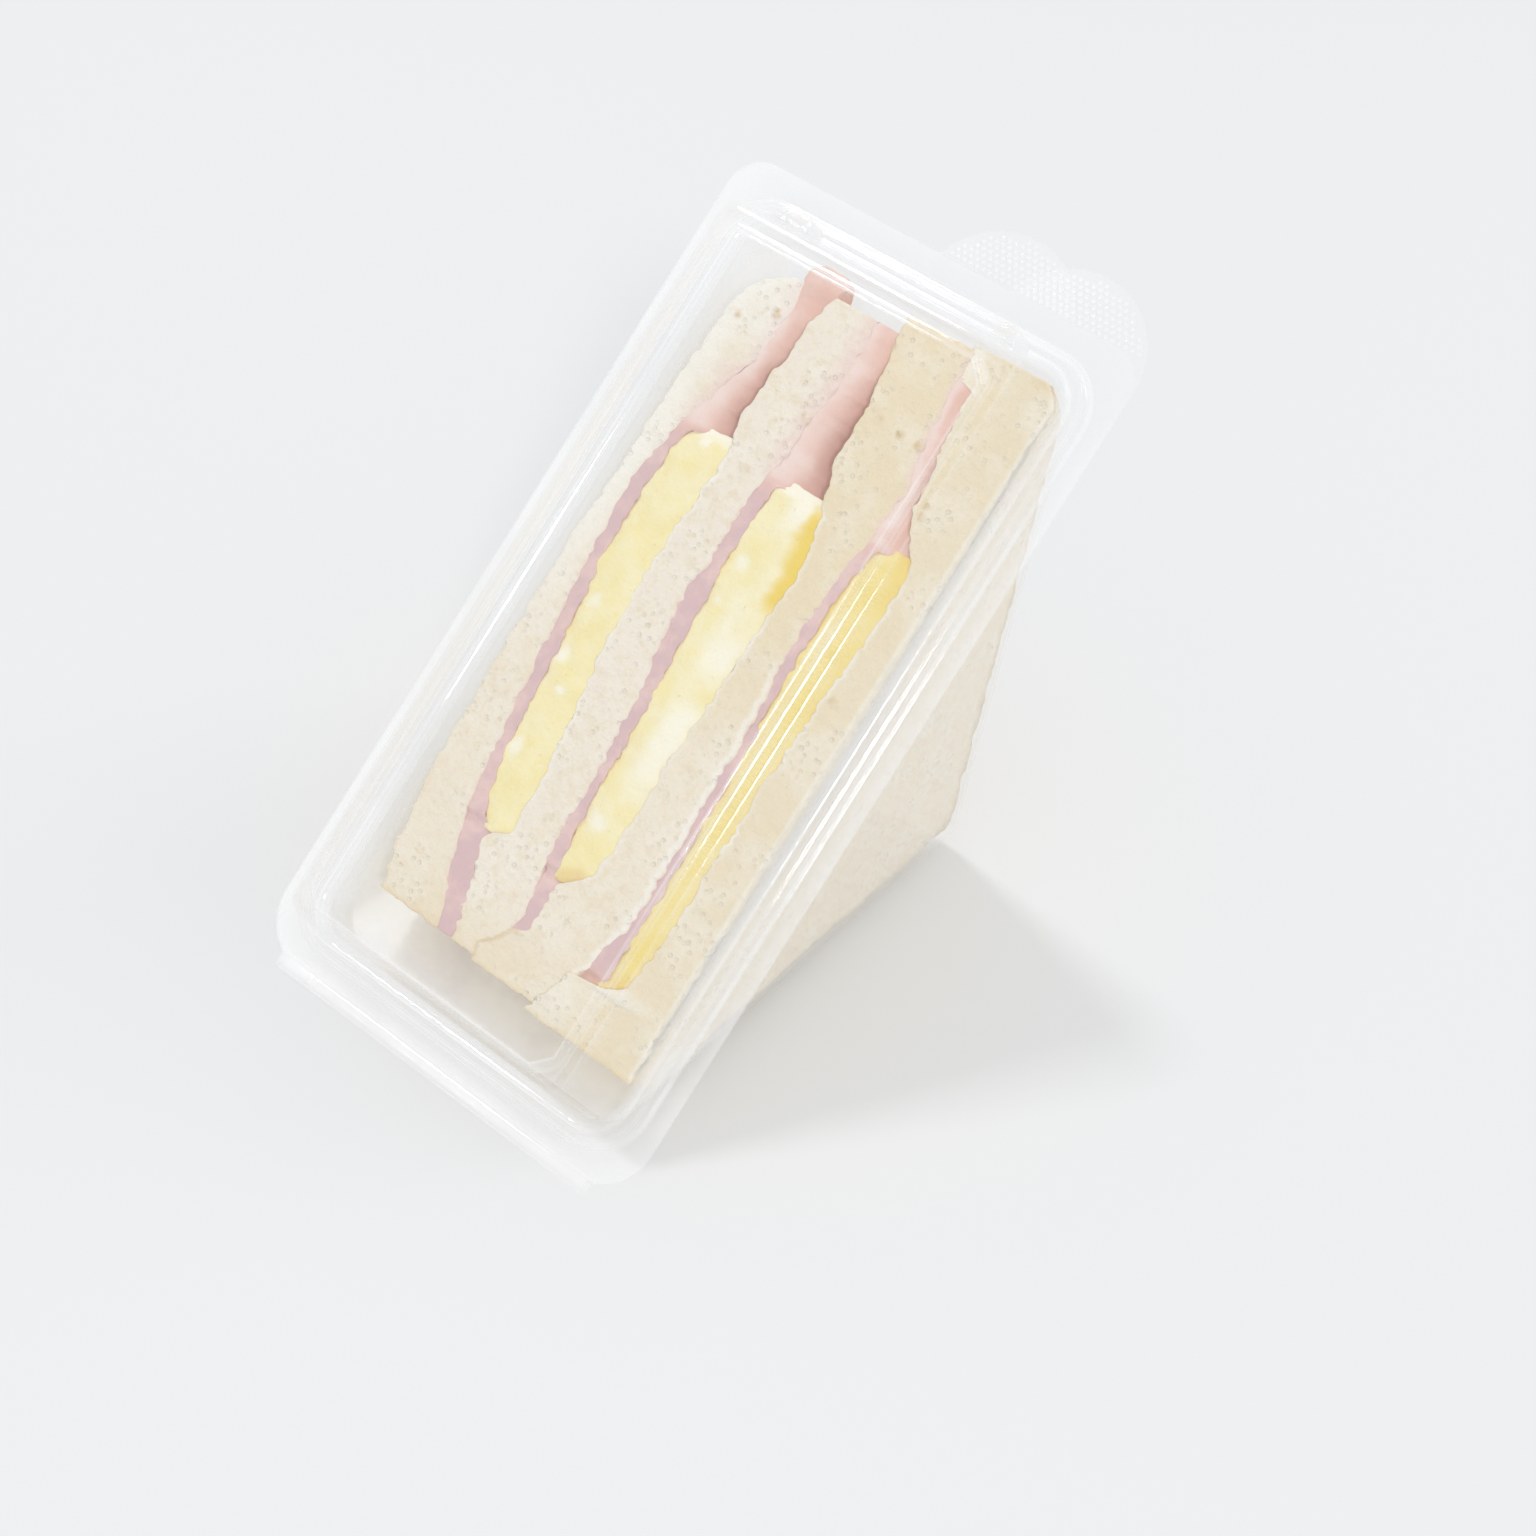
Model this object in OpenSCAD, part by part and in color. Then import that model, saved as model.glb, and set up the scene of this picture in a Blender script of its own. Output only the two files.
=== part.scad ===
// Clear hinged sandwich wedge pack with a three-filling sandwich inside.
// Every piece is drawn in the plane of the flange first: x runs across, y runs from
// the hinge fold to the opening end, z points out of the lid. stand() then tips the
// whole pack over onto its hinge and its bottom edge, which is how it rests.

/* [Pack] */
// Width across the side flanges
pack_w = 84; // [78:1:96]
// Length from the hinge fold to the straight edge of the opening end
pack_l = 161; // [150:1:175]
// Thickness of the formed sheet
wall = 0.4; // [0.3:0.05:0.6]
// Gap between the two flanges when the pack is shut
flange_gap = 0.2; // [0.1:0.05:0.4]

/* [Flange] */
// Width of the flange along the sides
flange_side = 3.5; // [2.5:0.1:4.5]
// Width of the flange at the hinge
flange_hinge = 3.4; // [2.5:0.1:4.5]
// Width of the flange at the opening end
flange_open = 5; // [4:0.1:6]
// Corner radius of the flange at the opening end
flange_r = 6.5; // [4:0.5:9]
// Corner radius of the flange at the hinge
hinge_corner_r = 10; // [7:0.5:12]
// Depth that the fold line cuts off those corners
hinge_corner_cut = 0.8; // [0.3:0.1:2]

/* [Rim] */
// Height of the step that the lid makes over the rim of the base
rim_h = 2.6; // [1.8:0.1:3.5]
// Width of the ledge on top of that step
ledge_w = 2.5; // [1.8:0.1:3]
// Corner radius of the rim
rim_r = 10; // [8:0.5:13]
// Slack between the rim of the base and the lid over it
rim_slack = 0.25; // [0.15:0.05:0.4]

/* [Lid dome] */
// Height of the flat panel above the flange
panel_h = 20.2; // [16:0.1:24]
// Drop from the panel to the shoulder
shoulder_drop = 3; // [2:0.1:5]
// Slope of the dome's side walls, from foot to shoulder
dome_run_side = 4.6; // [3:0.1:6]
// Slope of the dome's wall at the hinge
dome_run_hinge = 3.8; // [3:0.1:6]
// Slope of the dome's wall at the opening end
dome_run_open = 3.2; // [2.5:0.1:6]
// Width of the shoulder along the sides
shoulder_side = 2.4; // [1.6:0.1:4]
// Width of the shoulder at the hinge
shoulder_hinge = 1.7; // [1.4:0.1:4]
// Width of the shoulder at the opening end
shoulder_open = 3.3; // [1.6:0.1:5]
// Corner radius of the dome at its foot
dome_foot_r = 7; // [5:0.5:9]
// Corner radius of the dome at its shoulder
dome_top_r = 2.6; // [2:0.1:4]
// Length cut off each corner of the panel
panel_cut = 3.7; // [2:0.1:6]

/* [Stacking lugs] */
// Radius of the two half-round lugs on the dome's opening end
lug_r = 2.8; // [2:0.1:4]
// Distance of each lug from the middle of the pack
lug_x = 21.5; // [12:0.5:24]
// Height of the lugs above the ledge
lug_h = 6; // [3:0.5:9]

/* [Pocket] */
// Distance from the flange edge to the pocket's mouth along the sides
mouth_side = 9; // [8.8:0.1:10]
// Distance from the fold to the pocket's mouth at the hinge
mouth_hinge = 7.6; // [7.4:0.1:10]
// Distance from the opening edge to the pocket's mouth
mouth_open = 9.3; // [9:0.1:12]
// Corner radius of the pocket's mouth
mouth_r = 6; // [4:0.5:8]
// Draft of the side walls
draft = 1; // [0:0.25:2]
// Distance from the fold to where the lower leg wall would meet the flange
leg_hinge = 1; // [0:0.25:3]
// Distance from the opening edge to where the rear leg wall would meet the flange
leg_open = 2; // [1:0.25:4]
// Inside radius of the pocket's bottom edge
apex_r = 5; // [3:0.5:8]

/* [Hinge] */
// Outside radius of the rolled film hinge
hinge_r = 1.7; // [1.3:0.1:2.2]
// Slit between the two halves of the hinge
hinge_slit = 0.08; // [0.04:0.02:0.2]

/* [Tabs] */
// Radius of the two opening tabs
tab_r = 14.5; // [11:0.5:16]
// Reach of the tabs beyond the opening edge
tab_reach = 9.3; // [6:0.1:10]
// Distance of the lid's tab from the middle of the pack
lid_tab_x = 13.4; // [8:0.2:18]

/* [Sandwich] */
// Clearance between the sandwich and the pocket's lower leg wall
bread_clear = 0.3; // [0.2:0.05:0.6]
// Clearance between the sandwich and the pocket's side walls
bread_side_clear = 0.5; // [0.3:0.05:0.8]
// Length of bread that is missing at the hinge end
bread_low = 17.5; // [12:0.5:24]
// Gap between the sandwich and the pocket's rear leg wall
bread_rear_gap = 3.8; // [2:0.1:6]
// Height of the cut face above the flange
bread_face = 0.6; // [-3:0.1:2]
// Radius of the bread's bottom edge
bread_r = 8; // [6:0.5:12]
// Gap between neighbouring layers
layer_gap = 0.12; // [0.06:0.02:0.3]
// Thickness of a slice of ham where it lies flat
ham_t = 2; // [1.2:0.1:3]
// Share of the depth that the egg fills
egg_depth = 0.62; // [0.4:0.02:0.7]

/* [Hidden] */

half_w = pack_w / 2;
root2 = sqrt(2);
corner_n = 6;
lug_n = 10;
edge_round = 0.45;

// Flange planes, and the top face of each piece's flange
lid_top = flange_gap / 2 + wall;
base_top = -flange_gap / 2;

// Dome levels above the flange plane
ledge_z = lid_top + rim_h;
shoulder_z = lid_top + panel_h - shoulder_drop;
panel_z = lid_top + panel_h;

// The pocket's legs meet at a right angle below the middle of the pack
leg_y1 = leg_hinge;
leg_y2 = pack_l - leg_open;
apex_y = (leg_y1 + leg_y2) / 2;
apex_zc = -(leg_y2 - leg_y1) / 2 + (apex_r + wall) * root2;

// Hinge tube and fold axis
hinge_cy = wall + 0.3 - hinge_r;
axis_y = hinge_cy - hinge_r;
fold_half = half_w - hinge_corner_r
    + sqrt(pow(hinge_corner_r, 2) - pow(hinge_corner_r - hinge_corner_cut, 2));

// Tilt at which the hinge tube and the bottom edge both touch the ground
apex_out = apex_r + wall;
span = norm([apex_y - hinge_cy, apex_zc]);
lie = asin((apex_out - hinge_r) / span) - atan2(apex_zc, apex_y - hinge_cy);

function turned(y, z) = [y * cos(lie) - z * sin(lie), y * sin(lie) + z * cos(lie)];

tab_cy = pack_l + tab_reach - tab_r;
tab_half = sqrt(pow(tab_r, 2) - pow(pack_l - tab_cy, 2));
base_tab_x = half_w - tab_r;

// Points of a run along an arc, or along its chord where the corner is cut straight
function arc(cx, cy, r, a0, a1, n, straight = false) = [
    for (k = [0:n]) let (t = k / n, a = a0 + (a1 - a0) * t)
    straight
        ? [cx + r * (cos(a0) * (1 - t) + cos(a1) * t), cy + r * (sin(a0) * (1 - t) + sin(a1) * t)]
        : [cx + r * cos(a), cy + r * sin(a)]
];

// Falling list without near repeats
function sorted(v) = len(v) == 0 ? [] : let (p = v[floor(len(v) / 2)])
    concat(sorted([for (x = v) if (x > p + 0.05) x]), [p], sorted([for (x = v) if (x < p - 0.05) x]));

// Places across the opening end, from right to left, that the tabs and the lugs need.
// Every ring has a point at each of them.
end_x = sorted(concat(
    [base_tab_x, lid_tab_x, base_tab_x - tab_half],
    [for (side = [1, -1], k = [0:lug_n]) side * lug_x + lug_r * cos(180 * k / lug_n)],
    [for (a = [21.5, 26, 32, 78, 97, 107, 117, 127, 137, 146, 153]) lid_tab_x + tab_r * cos(a)],
    [lid_tab_x + tab_half, lid_tab_x - tab_half]));

// Height of a half-round lug's circle at a place across the end, as a share of its radius
function lug_share_at(x) = let (u = (abs(x) - lug_x) / lug_r) sqrt(max(0, 1 - u * u));
lug_cy = pack_l - flange_open - 2 * edge_round - 0.3 - lug_r;

// Run along the opening end, with the two lugs standing out of it
function end_line(y, limit, reach, shrink) = [for (x = end_x) [
    x * min(1, limit / end_x[0]),
    reach * lug_share_at(x) <= 0 ? y : max(y, lug_cy + (reach * lug_r - shrink) * lug_share_at(x))]];

// One closed line of points around the pack at one height
function ring(side, hinge, open, r, z, straight = false, lug = 0, shrink = 0) = let (
    a = half_w - side,
    low = hinge + r,
    high = pack_l - open - r,
    outline = concat(
        arc(a - r, low, r, -90, 0, corner_n, straight),
        arc(a - r, high, r, 0, 90, corner_n, straight),
        end_line(pack_l - open, a - r - 0.2, lug, shrink),
        arc(-a + r, high, r, 90, 180, corner_n, straight),
        arc(-a + r, low, r, 180, 270, corner_n, straight)))
    [for (p = outline) [p.x, p.y, z]];

function centre(line) = [0, (min([for (p = line) p.y]) + max([for (p = line) p.y])) / 2, line[0].z];

// A solid skinned over a row of such lines, each end closed by a fan around its centre
module skin(rings) {
    n = len(rings[0]);
    last = len(rings) - 1;
    c = n * (last + 1);
    polyhedron(
        points = concat([for (r = rings) each r], [centre(rings[0]), centre(rings[last])]),
        faces = concat(
            [for (k = [0:n - 1]) [c, k, (k + 1) % n]],
            [for (i = [0:last - 1], k = [0:n - 1]) let (m = (k + 1) % n, p = i * n, q = p + n)
                each [[p + k, q + k, q + m], [p + k, q + m, p + m]]],
            [for (k = [0:n - 1]) [c + 1, last * n + (k + 1) % n, last * n + k]]),
        convexity = 8);
}

// Unit vector from the top skin into the sheet, for the step from station s to station t
function into_sheet(s, t) = let (d = [t[0] - s[0], t[4] - s[4]]) [d.y, -d.x] / norm(d);

// The same station on the other face of the sheet, mitred where the profile bends.
// A station is [side, hinge, open, corner radius, height, lug, straight corners].
function under(list, i, d) = let (
    last = len(list) - 1,
    a = i > 0 ? into_sheet(list[i - 1], list[i]) : into_sheet(list[0], list[1]),
    b = i < last ? into_sheet(list[i], list[i + 1]) : a,
    m = (a + b) / (1 + a * b) * d,
    s = list[i])
    [s[0] + m.x, s[1] + m.x, s[2] + m.x, max(0.4, s[3] - m.x), s[4] + m.y, s[5], s[6]];

function station_ring(s, shrink = 0) =
    ring(s[0], s[1], s[2], s[3], s[4], straight = s[6] == 1, lug = s[5], shrink = shrink);

// Lid

dome_side = flange_side + edge_round + ledge_w;
dome_hinge = flange_hinge + edge_round + ledge_w;
dome_open = flange_open + edge_round + ledge_w;
rise = shoulder_z - ledge_z;

// A station of the dome, a share of the way up the wall from the ledge to the shoulder
function wall_station(share, lug) = [
    dome_side + edge_round + dome_run_side * share,
    dome_hinge + edge_round + dome_run_hinge * share,
    dome_open + edge_round + dome_run_open * share,
    dome_foot_r + (dome_top_r - dome_foot_r) * share,
    ledge_z + 1 + (rise - 1) * share, lug, 0];

// A station of the shoulder and panel, set in from the wall by a share of the shoulder's width
function top_station(share, out, z, straight) = [
    dome_side + edge_round + dome_run_side + shoulder_side * share + out,
    dome_hinge + edge_round + dome_run_hinge + shoulder_hinge * share + out,
    dome_open + edge_round + dome_run_open + shoulder_open * share + out,
    straight == 1 ? panel_cut - out / 2 : dome_top_r, z, 0, straight];

lug_share = lug_h / rise;
lid_stations = [
    [flange_side, flange_hinge, flange_open, rim_r, lid_top, 0, 0],
    [flange_side + edge_round, flange_hinge + edge_round, flange_open + edge_round, rim_r - 0.5,
        ledge_z - 0.3, 0, 0],
    [flange_side + 2 * edge_round, flange_hinge + 2 * edge_round, flange_open + 2 * edge_round,
        rim_r - 1, ledge_z, 0, 0],
    [dome_side, dome_hinge, dome_open, dome_foot_r + 0.5, ledge_z, 1, 0],
    wall_station(0, 1),
    wall_station(lug_share - 0.06, 1),
    wall_station(lug_share, 0.8),
    wall_station(lug_share + 0.02, 0),
    wall_station(1, 0),
    top_station(0.2, 0, shoulder_z + 0.5, 0),
    top_station(0.9, 0, shoulder_z + 1, 0),
    top_station(1, 0.2, shoulder_z + 1.3, 1),
    top_station(1, 0.6, panel_z - 0.4, 1),
    top_station(1, 1.1, panel_z, 1)
];

// Front, rear and lowest points of the pack as it stands
front_y = min(concat([for (s = lid_stations) turned(s[1], s[4]).x], [turned(hinge_cy, 0).x - hinge_r]));
rear_y = max(turned(pack_l + tab_reach, base_top - wall).x, turned(apex_y, apex_zc).x + apex_out);
ground_z = turned(hinge_cy, 0).y - hinge_r;

module stand() {
    translate([0, -(front_y + rear_y) / 2, -ground_z]) rotate([lie, 0, 0]) children();
}

// Edge of a round tab at a place across the end, or the straight edge beside it
function tab_edge(x, cx) = abs(x - cx) >= tab_half ? pack_l : tab_cy + sqrt(tab_r * tab_r - pow(x - cx, 2));

// The flange's own line, with its corners at the hinge cut short by the fold. A tab centred
// on cx stands out of the opening end; one that reaches the side takes the corner's place.
function flange_line(z, cx) = let (
    a0 = -asin((hinge_corner_r - hinge_corner_cut) / hinge_corner_r),
    low = hinge_corner_r - hinge_corner_cut,
    high = pack_l - flange_r,
    outline = concat(
        arc(half_w - hinge_corner_r, low, hinge_corner_r, a0, 0, corner_n),
        cx + tab_r < half_w ? arc(half_w - flange_r, high, flange_r, 0, 90, corner_n)
            : arc(cx, tab_cy, tab_r, 0, 84, corner_n),
        [for (x = end_x) [x, tab_edge(x, cx)]],
        arc(-half_w + flange_r, high, flange_r, 90, 180, corner_n),
        arc(-half_w + hinge_corner_r, low, hinge_corner_r, 180, 180 - a0, corner_n)))
    [for (p = outline) [p.x, p.y, z]];

module lid_shell() {
    last = len(lid_stations) - 1;
    skin(concat(
        [for (i = [last:-1:0]) station_ring(under(lid_stations, i, wall), wall)],
        [flange_line(lid_top - wall, lid_tab_x), flange_line(lid_top, lid_tab_x)],
        [for (i = [0:last]) station_ring(lid_stations[i])]));
}

// Half of the rolled film that joins the two flanges; up is 1 for the lid, -1 for the base
module hinge_half(up) {
    rotate([90, 0, 90]) linear_extrude(2 * fold_half - 1.2, center = true)
    mirror([0, up > 0 ? 0 : 1])
    difference() {
        translate([hinge_cy, 0]) circle(r = hinge_r, $fn = 48);
        translate([hinge_cy, 0]) circle(r = hinge_r - wall, $fn = 48);
        translate([hinge_cy - 2 * hinge_r, hinge_slit / 2 - 2 * hinge_r]) square([4 * hinge_r, 2 * hinge_r]);
        translate([hinge_cy, -hinge_r]) square([2 * hinge_r, hinge_r + (flange_gap + wall) / 2]);
    }
}

module lid() {
    color([0.93, 0.95, 0.96, 0.3]) stand() {
        lid_shell();
        hinge_half(1);
    }
}

// Base

rim_top_z = ledge_z - wall - rim_slack;
rim_in = wall + rim_slack;
rim_stations = [
    [flange_side + rim_in, flange_hinge + rim_in, flange_open + rim_in, rim_r - 0.4, base_top, 0, 0],
    [flange_side + rim_in + edge_round, flange_hinge + rim_in + edge_round,
        flange_open + rim_in + edge_round, rim_r - 0.9, rim_top_z - 0.3, 0, 0],
    [flange_side + rim_in + 2 * edge_round, flange_hinge + rim_in + 2 * edge_round,
        flange_open + rim_in + 2 * edge_round, rim_r - 1.4, rim_top_z, 0, 0],
    [mouth_side - 1.6, mouth_hinge - 1.6, mouth_open - 1.6, mouth_r + 1.6, rim_top_z, 0, 0],
    [mouth_side - 0.7, mouth_hinge - 0.7, mouth_open - 0.7, mouth_r + 0.9, rim_top_z - 0.5, 0, 0],
    [mouth_side + wall - 0.2, mouth_hinge + wall - 0.2, mouth_open + wall - 0.2, mouth_r + 0.2,
        rim_top_z - 1.5, 0, 0],
    [mouth_side + wall, mouth_hinge + wall, mouth_open + wall, mouth_r, base_top - 1, 0, 0]
];

// Half the length of the wedge at a height, on its inner face or d outside it
function wedge_half(z, d) = let (r = apex_r + d)
    z > apex_zc - r / root2 ? z - apex_zc + r * root2 : sqrt(max(0, r * r - pow(z - apex_zc, 2)));

// Distance from the flange edge to the side wall: it grows with the draft, and round the
// ends of the bottom edge
function pocket_side(z, d) = let (r = mouth_r + d, h = wedge_half(z, d))
    mouth_side + wall - d - (z - base_top + 1) * tan(draft)
    + (h < r ? r - sqrt(r * r - pow(r - h, 2)) : 0);

function pocket_ring(z, d) = let (
    low = max(mouth_hinge + wall - d, apex_y - wedge_half(z, d)),
    high = min(pack_l - mouth_open - wall + d, apex_y + wedge_half(z, d)),
    r = min(mouth_r + d, (high - low) * 0.49))
    ring(pocket_side(z, d), low, pack_l - high, r, z);

// Heights of the pocket's lines: where each leg wall starts, where the corners begin to
// close, and round the bottom edge
function pocket_levels(d) = let (
    r = apex_r + d,
    meet_hinge = apex_zc - r * root2 + apex_y - mouth_hinge - wall + d,
    meet_open = apex_zc - r * root2 + pack_l - mouth_open - wall + d - apex_y)
    concat([max(meet_hinge, meet_open), min(meet_hinge, meet_open)],
        [apex_zc - r * root2 + 3 * mouth_r, apex_zc - r * root2 + mouth_r + d],
        [for (a = [45, 30, 15, 5]) apex_zc - r * cos(a)]);

module base_shell() {
    levels_in = pocket_levels(0);
    levels_out = pocket_levels(wall);
    last = len(rim_stations) - 1;
    low = len(levels_in) - 1;
    skin(concat(
        [for (i = [low:-1:0]) pocket_ring(levels_out[i], wall)],
        [for (i = [last:-1:0]) station_ring(under(rim_stations, i, wall))],
        [flange_line(base_top - wall, base_tab_x), flange_line(base_top, base_tab_x)],
        [for (i = [0:last]) station_ring(rim_stations[i])],
        [for (i = [0:low]) pocket_ring(levels_in[i], 0)]));
}

module base_tray() {
    color([0.93, 0.95, 0.96, 0.3]) stand() {
        base_shell();
        hinge_half(-1);
    }
}

// Sandwich

// The tables below are in steps of the pack's width and of its length
step_x = pack_w / 84;
step_y = pack_l / 161;

// Where each seam lies across the cut face, from the hinge end to the opening end
seam_y = [20, 25, 28, 37.5, 39.5, 41.5, 50, 70, 88, 101, 113, 122, 132, 141, 150];
bread_ham = [
    [-13, -14.9, -16, -19.6, -20.1, -20.5, -21.8, -24.3, -26.1, -27.2, -25.2, -21.9, -18.1, -18, -18.5],
    [-4.2, -1.2, 0.1, -1.6, -2, -2.3, -2.6, -3.8, -6.5, -6.2, -5.3, -4.1, -2.9, -2.7, -2.8],
    [10.6, 13.6, 14.8, 17.3, 17.6, 17.6, 17.3, 16.8, 15.4, 15.3, 16.9, 18.1, 15.9, 15.2, 14.5]
];
egg_bread = [
    [-10.3, -11.5, -12.2, -15.1, -9.6, -10.4, -11, -13.8, -15.4, -14.8, -13.9, -15.6, -14.1, -13.5, -10.8],
    [-4, -0.95, 2.5, 1.6, 4.6, 6.9, 7.4, 7.6, 8.3, 9.1, 7.5, 3.6, 3.4, 2.1, 0.9],
    [10.85, 14.1, 22.6, 23.9, 24, 24, 23.9, 24, 24.8, 26, 25.8, 20.2, 19.3, 18.2, 16.6]
];
ham_width = [
    [2.4, 3, 3.4, 4, 3.4, 3, 2.1, 2.5, 2.2, 2.8, 2, 4.6, 3.4, 4, 6.8],
    [0.1, 0.15, 2.1, 2.9, 2.7, 2.4, 1.8, 2.3, 3.6, 2.5, 2.2, 5.2, 4.4, 3.6, 2.8],
    [0.1, 0.3, 4, 1.8, 1.6, 1.6, 1.6, 1.6, 1.9, 1.9, 1.7, 1.7, 3, 2.7, 1.8]
];
ham_egg = [for (k = [0:2]) bread_ham[k] + ham_width[k]];
left_face = [-26.8, -27.8, -28.4, -29.6, -29.9, -30, -30.6, -31, -31, -30.6, -30.2, -29.6, -29.2, -27.8, -25];
closed_seam = [-17.4, -1, 15.4];
bread_top = [145.5, 145.8, 149.5, 150.5];
bread_end = [1.7, 1.5, 0.7, -0.8];
ham_start = [3, 9, 8.5];
ham_top = [149.5, 146, 143];
egg_start = [21.5, 21.5, 10.5];
egg_top = [116.5, 115.5, 114.5];

function across(values, y) =
    lookup(y / step_y, [for (i = [0:len(seam_y) - 1]) [seam_y[i], values[i]]]) * step_x;

function ease(t) = let (u = max(0, min(1, t))) u * u * (3 - 2 * u);

// Half width that the sandwich may fill: it keeps clear of the side walls and of the rounded
// edges where they meet the legs
function face_limit(y, z) = let (
    d = min(y - max(mouth_hinge + wall, apex_y - wedge_half(z, 0)),
        min(pack_l - mouth_open - wall, apex_y + wedge_half(z, 0)) - y),
    e = max(0, mouth_r - d))
    half_w - pocket_side(min(z, base_top - 1), 0) - bread_side_clear
    - (mouth_r - sqrt(max(0, mouth_r * mouth_r - e * e)));

// Floor of the sandwich under a place on its cut face
bread_zc = apex_zc + (bread_r - apex_r + bread_clear) * root2;
rear_shift = (bread_rear_gap - bread_clear) * root2;
function bread_floor(y) = let (
    r = bread_r,
    yc = apex_y - rear_shift / 2,
    zc = bread_zc + rear_shift / 2,
    d = y - yc)
    abs(d) > r / root2 ? zc - r * root2 + abs(d) : zc - sqrt(r * r - d * d);

// Share by which the layers have closed up again behind the egg
function closing(v) = ease((v - egg_depth) / (0.94 - egg_depth));

function seam(values, closed, y, v) = let (c = closing(v)) across(values, y) * (1 - c) + closed * c;
function closed_left(k) = closed_seam[k] * step_x;
function closed_right(k) = closed_left(k) + ham_t;

// Depth of each row of points under a place on the cut face, as a share of the full depth
function row(y, j) = let (depth = bread_face - bread_floor(y))
    [0, min(0.2, 1.2 / depth), egg_depth, 0.75, 1 - min(0.14, 6 / depth),
        1 - min(0.08, 3 / depth), 1 - min(0.035, 1.2 / depth), 1][j];

function depth_z(y, v) = bread_face + (bread_floor(y) - bread_face) * v;

// A slab from y0 to y1 and down to one of those rows, between two faces. left and right give
// x for a place y along the pack and a share v of the depth. Neighbours share their lines.
module slab(y0, y1, nv, drop, left, right) {
    cols = concat([y0], [for (y = seam_y) let (t = y * step_y) if (t > y0 + 1 && t < y1 - 1) t], [y1]);
    ny = len(cols) - 1;
    points = [
        for (face = [0, 1], i = [0:ny], j = [0:nv]) let (
            y = cols[i],
            v = row(y, j),
            a = left(y, v),
            b = right(y, v),
            rim = (j == 0 || j == nv || i == 0 || i == ny) ? min(0.5, (b - a) / 4) : 0,
            x = face == 0 ? a + rim : b - rim)
        [x, y, depth_z(y, v) - (j == 0 ? drop : 0)]];
    m = nv + 1;
    n = (ny + 1) * m;
    function id(f, i, j) = f * n + i * m + j;
    polyhedron(points = points, faces = concat(
        [for (i = [0:ny - 1], j = [0:nv - 1]) each [
            [id(0, i, j), id(0, i, j + 1), id(0, i + 1, j + 1)],
            [id(0, i, j), id(0, i + 1, j + 1), id(0, i + 1, j)],
            [id(1, i, j), id(1, i + 1, j + 1), id(1, i, j + 1)],
            [id(1, i, j), id(1, i + 1, j), id(1, i + 1, j + 1)]]],
        [for (i = [0:ny - 1]) each [
            [id(0, i, 0), id(0, i + 1, 0), id(1, i + 1, 0)],
            [id(0, i, 0), id(1, i + 1, 0), id(1, i, 0)],
            [id(0, i, nv), id(1, i, nv), id(1, i + 1, nv)],
            [id(0, i, nv), id(1, i + 1, nv), id(0, i + 1, nv)]]],
        [for (j = [0:nv - 1]) each [
            [id(0, 0, j), id(1, 0, j), id(1, 0, j + 1)],
            [id(0, 0, j), id(1, 0, j + 1), id(0, 0, j + 1)],
            [id(0, ny, j), id(0, ny, j + 1), id(1, ny, j + 1)],
            [id(0, ny, j), id(1, ny, j + 1), id(1, ny, j)]]]),
        convexity = 6);
}

function bread_left(k, y, v) = k == 0
    ? max(across(left_face, y), -face_limit(y, depth_z(y, v)))
    : seam(egg_bread[k - 1], closed_right(k - 1), y, v) + layer_gap;
function bread_right(k, y, v) = k == 3
    ? face_limit(y, depth_z(y, v))
    : seam(bread_ham[k], closed_left(k), y, v) - layer_gap;

module bread_slice(k) {
    color([0.94, 0.9, 0.8]) stand() slab(
        bread_low + bread_end[k] * step_y, bread_top[k] * step_y, 7, 0,
        function (y, v) bread_left(k, y, v), function (y, v) bread_right(k, y, v));
}

module ham_slice(k) {
    color([0.88, 0.62, 0.6]) stand() slab(
        bread_low + ham_start[k] * step_y, ham_top[k] * step_y, 6, 0.3,
        function (y, v) seam(bread_ham[k], closed_left(k), y, v),
        function (y, v) seam(ham_egg[k], closed_right(k), y, v) - layer_gap);
}

module egg_layer(k) {
    color([0.96, 0.86, 0.42]) stand() slab(
        bread_low + egg_start[k] * step_y, egg_top[k] * step_y, 2, 0.5,
        function (y, v) seam(ham_egg[k], closed_right(k), y, v),
        function (y, v) seam(egg_bread[k], closed_right(k), y, v));
}

base_tray();
lid();
bread_slice(0);  // bread_slice_1
bread_slice(1);  // bread_slice_2
bread_slice(2);  // bread_slice_3
bread_slice(3);  // bread_slice_4
ham_slice(0);  // ham_slice_1
ham_slice(1);  // ham_slice_2
ham_slice(2);  // ham_slice_3
egg_layer(0);  // egg_layer_1
egg_layer(1);  // egg_layer_2
egg_layer(2);  // egg_layer_3
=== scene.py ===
"""A clear hinged wedge pack with a three-filling sandwich in it, dressed for the studio.

The film shells and the sandwich are made here as fine meshes on the sizes of the frame.
Lengths are millimetres in the plane of the flange: x across, y from the fold to the opening
end, z out of the lid. stand() turns them into metres on the ground.
"""

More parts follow.
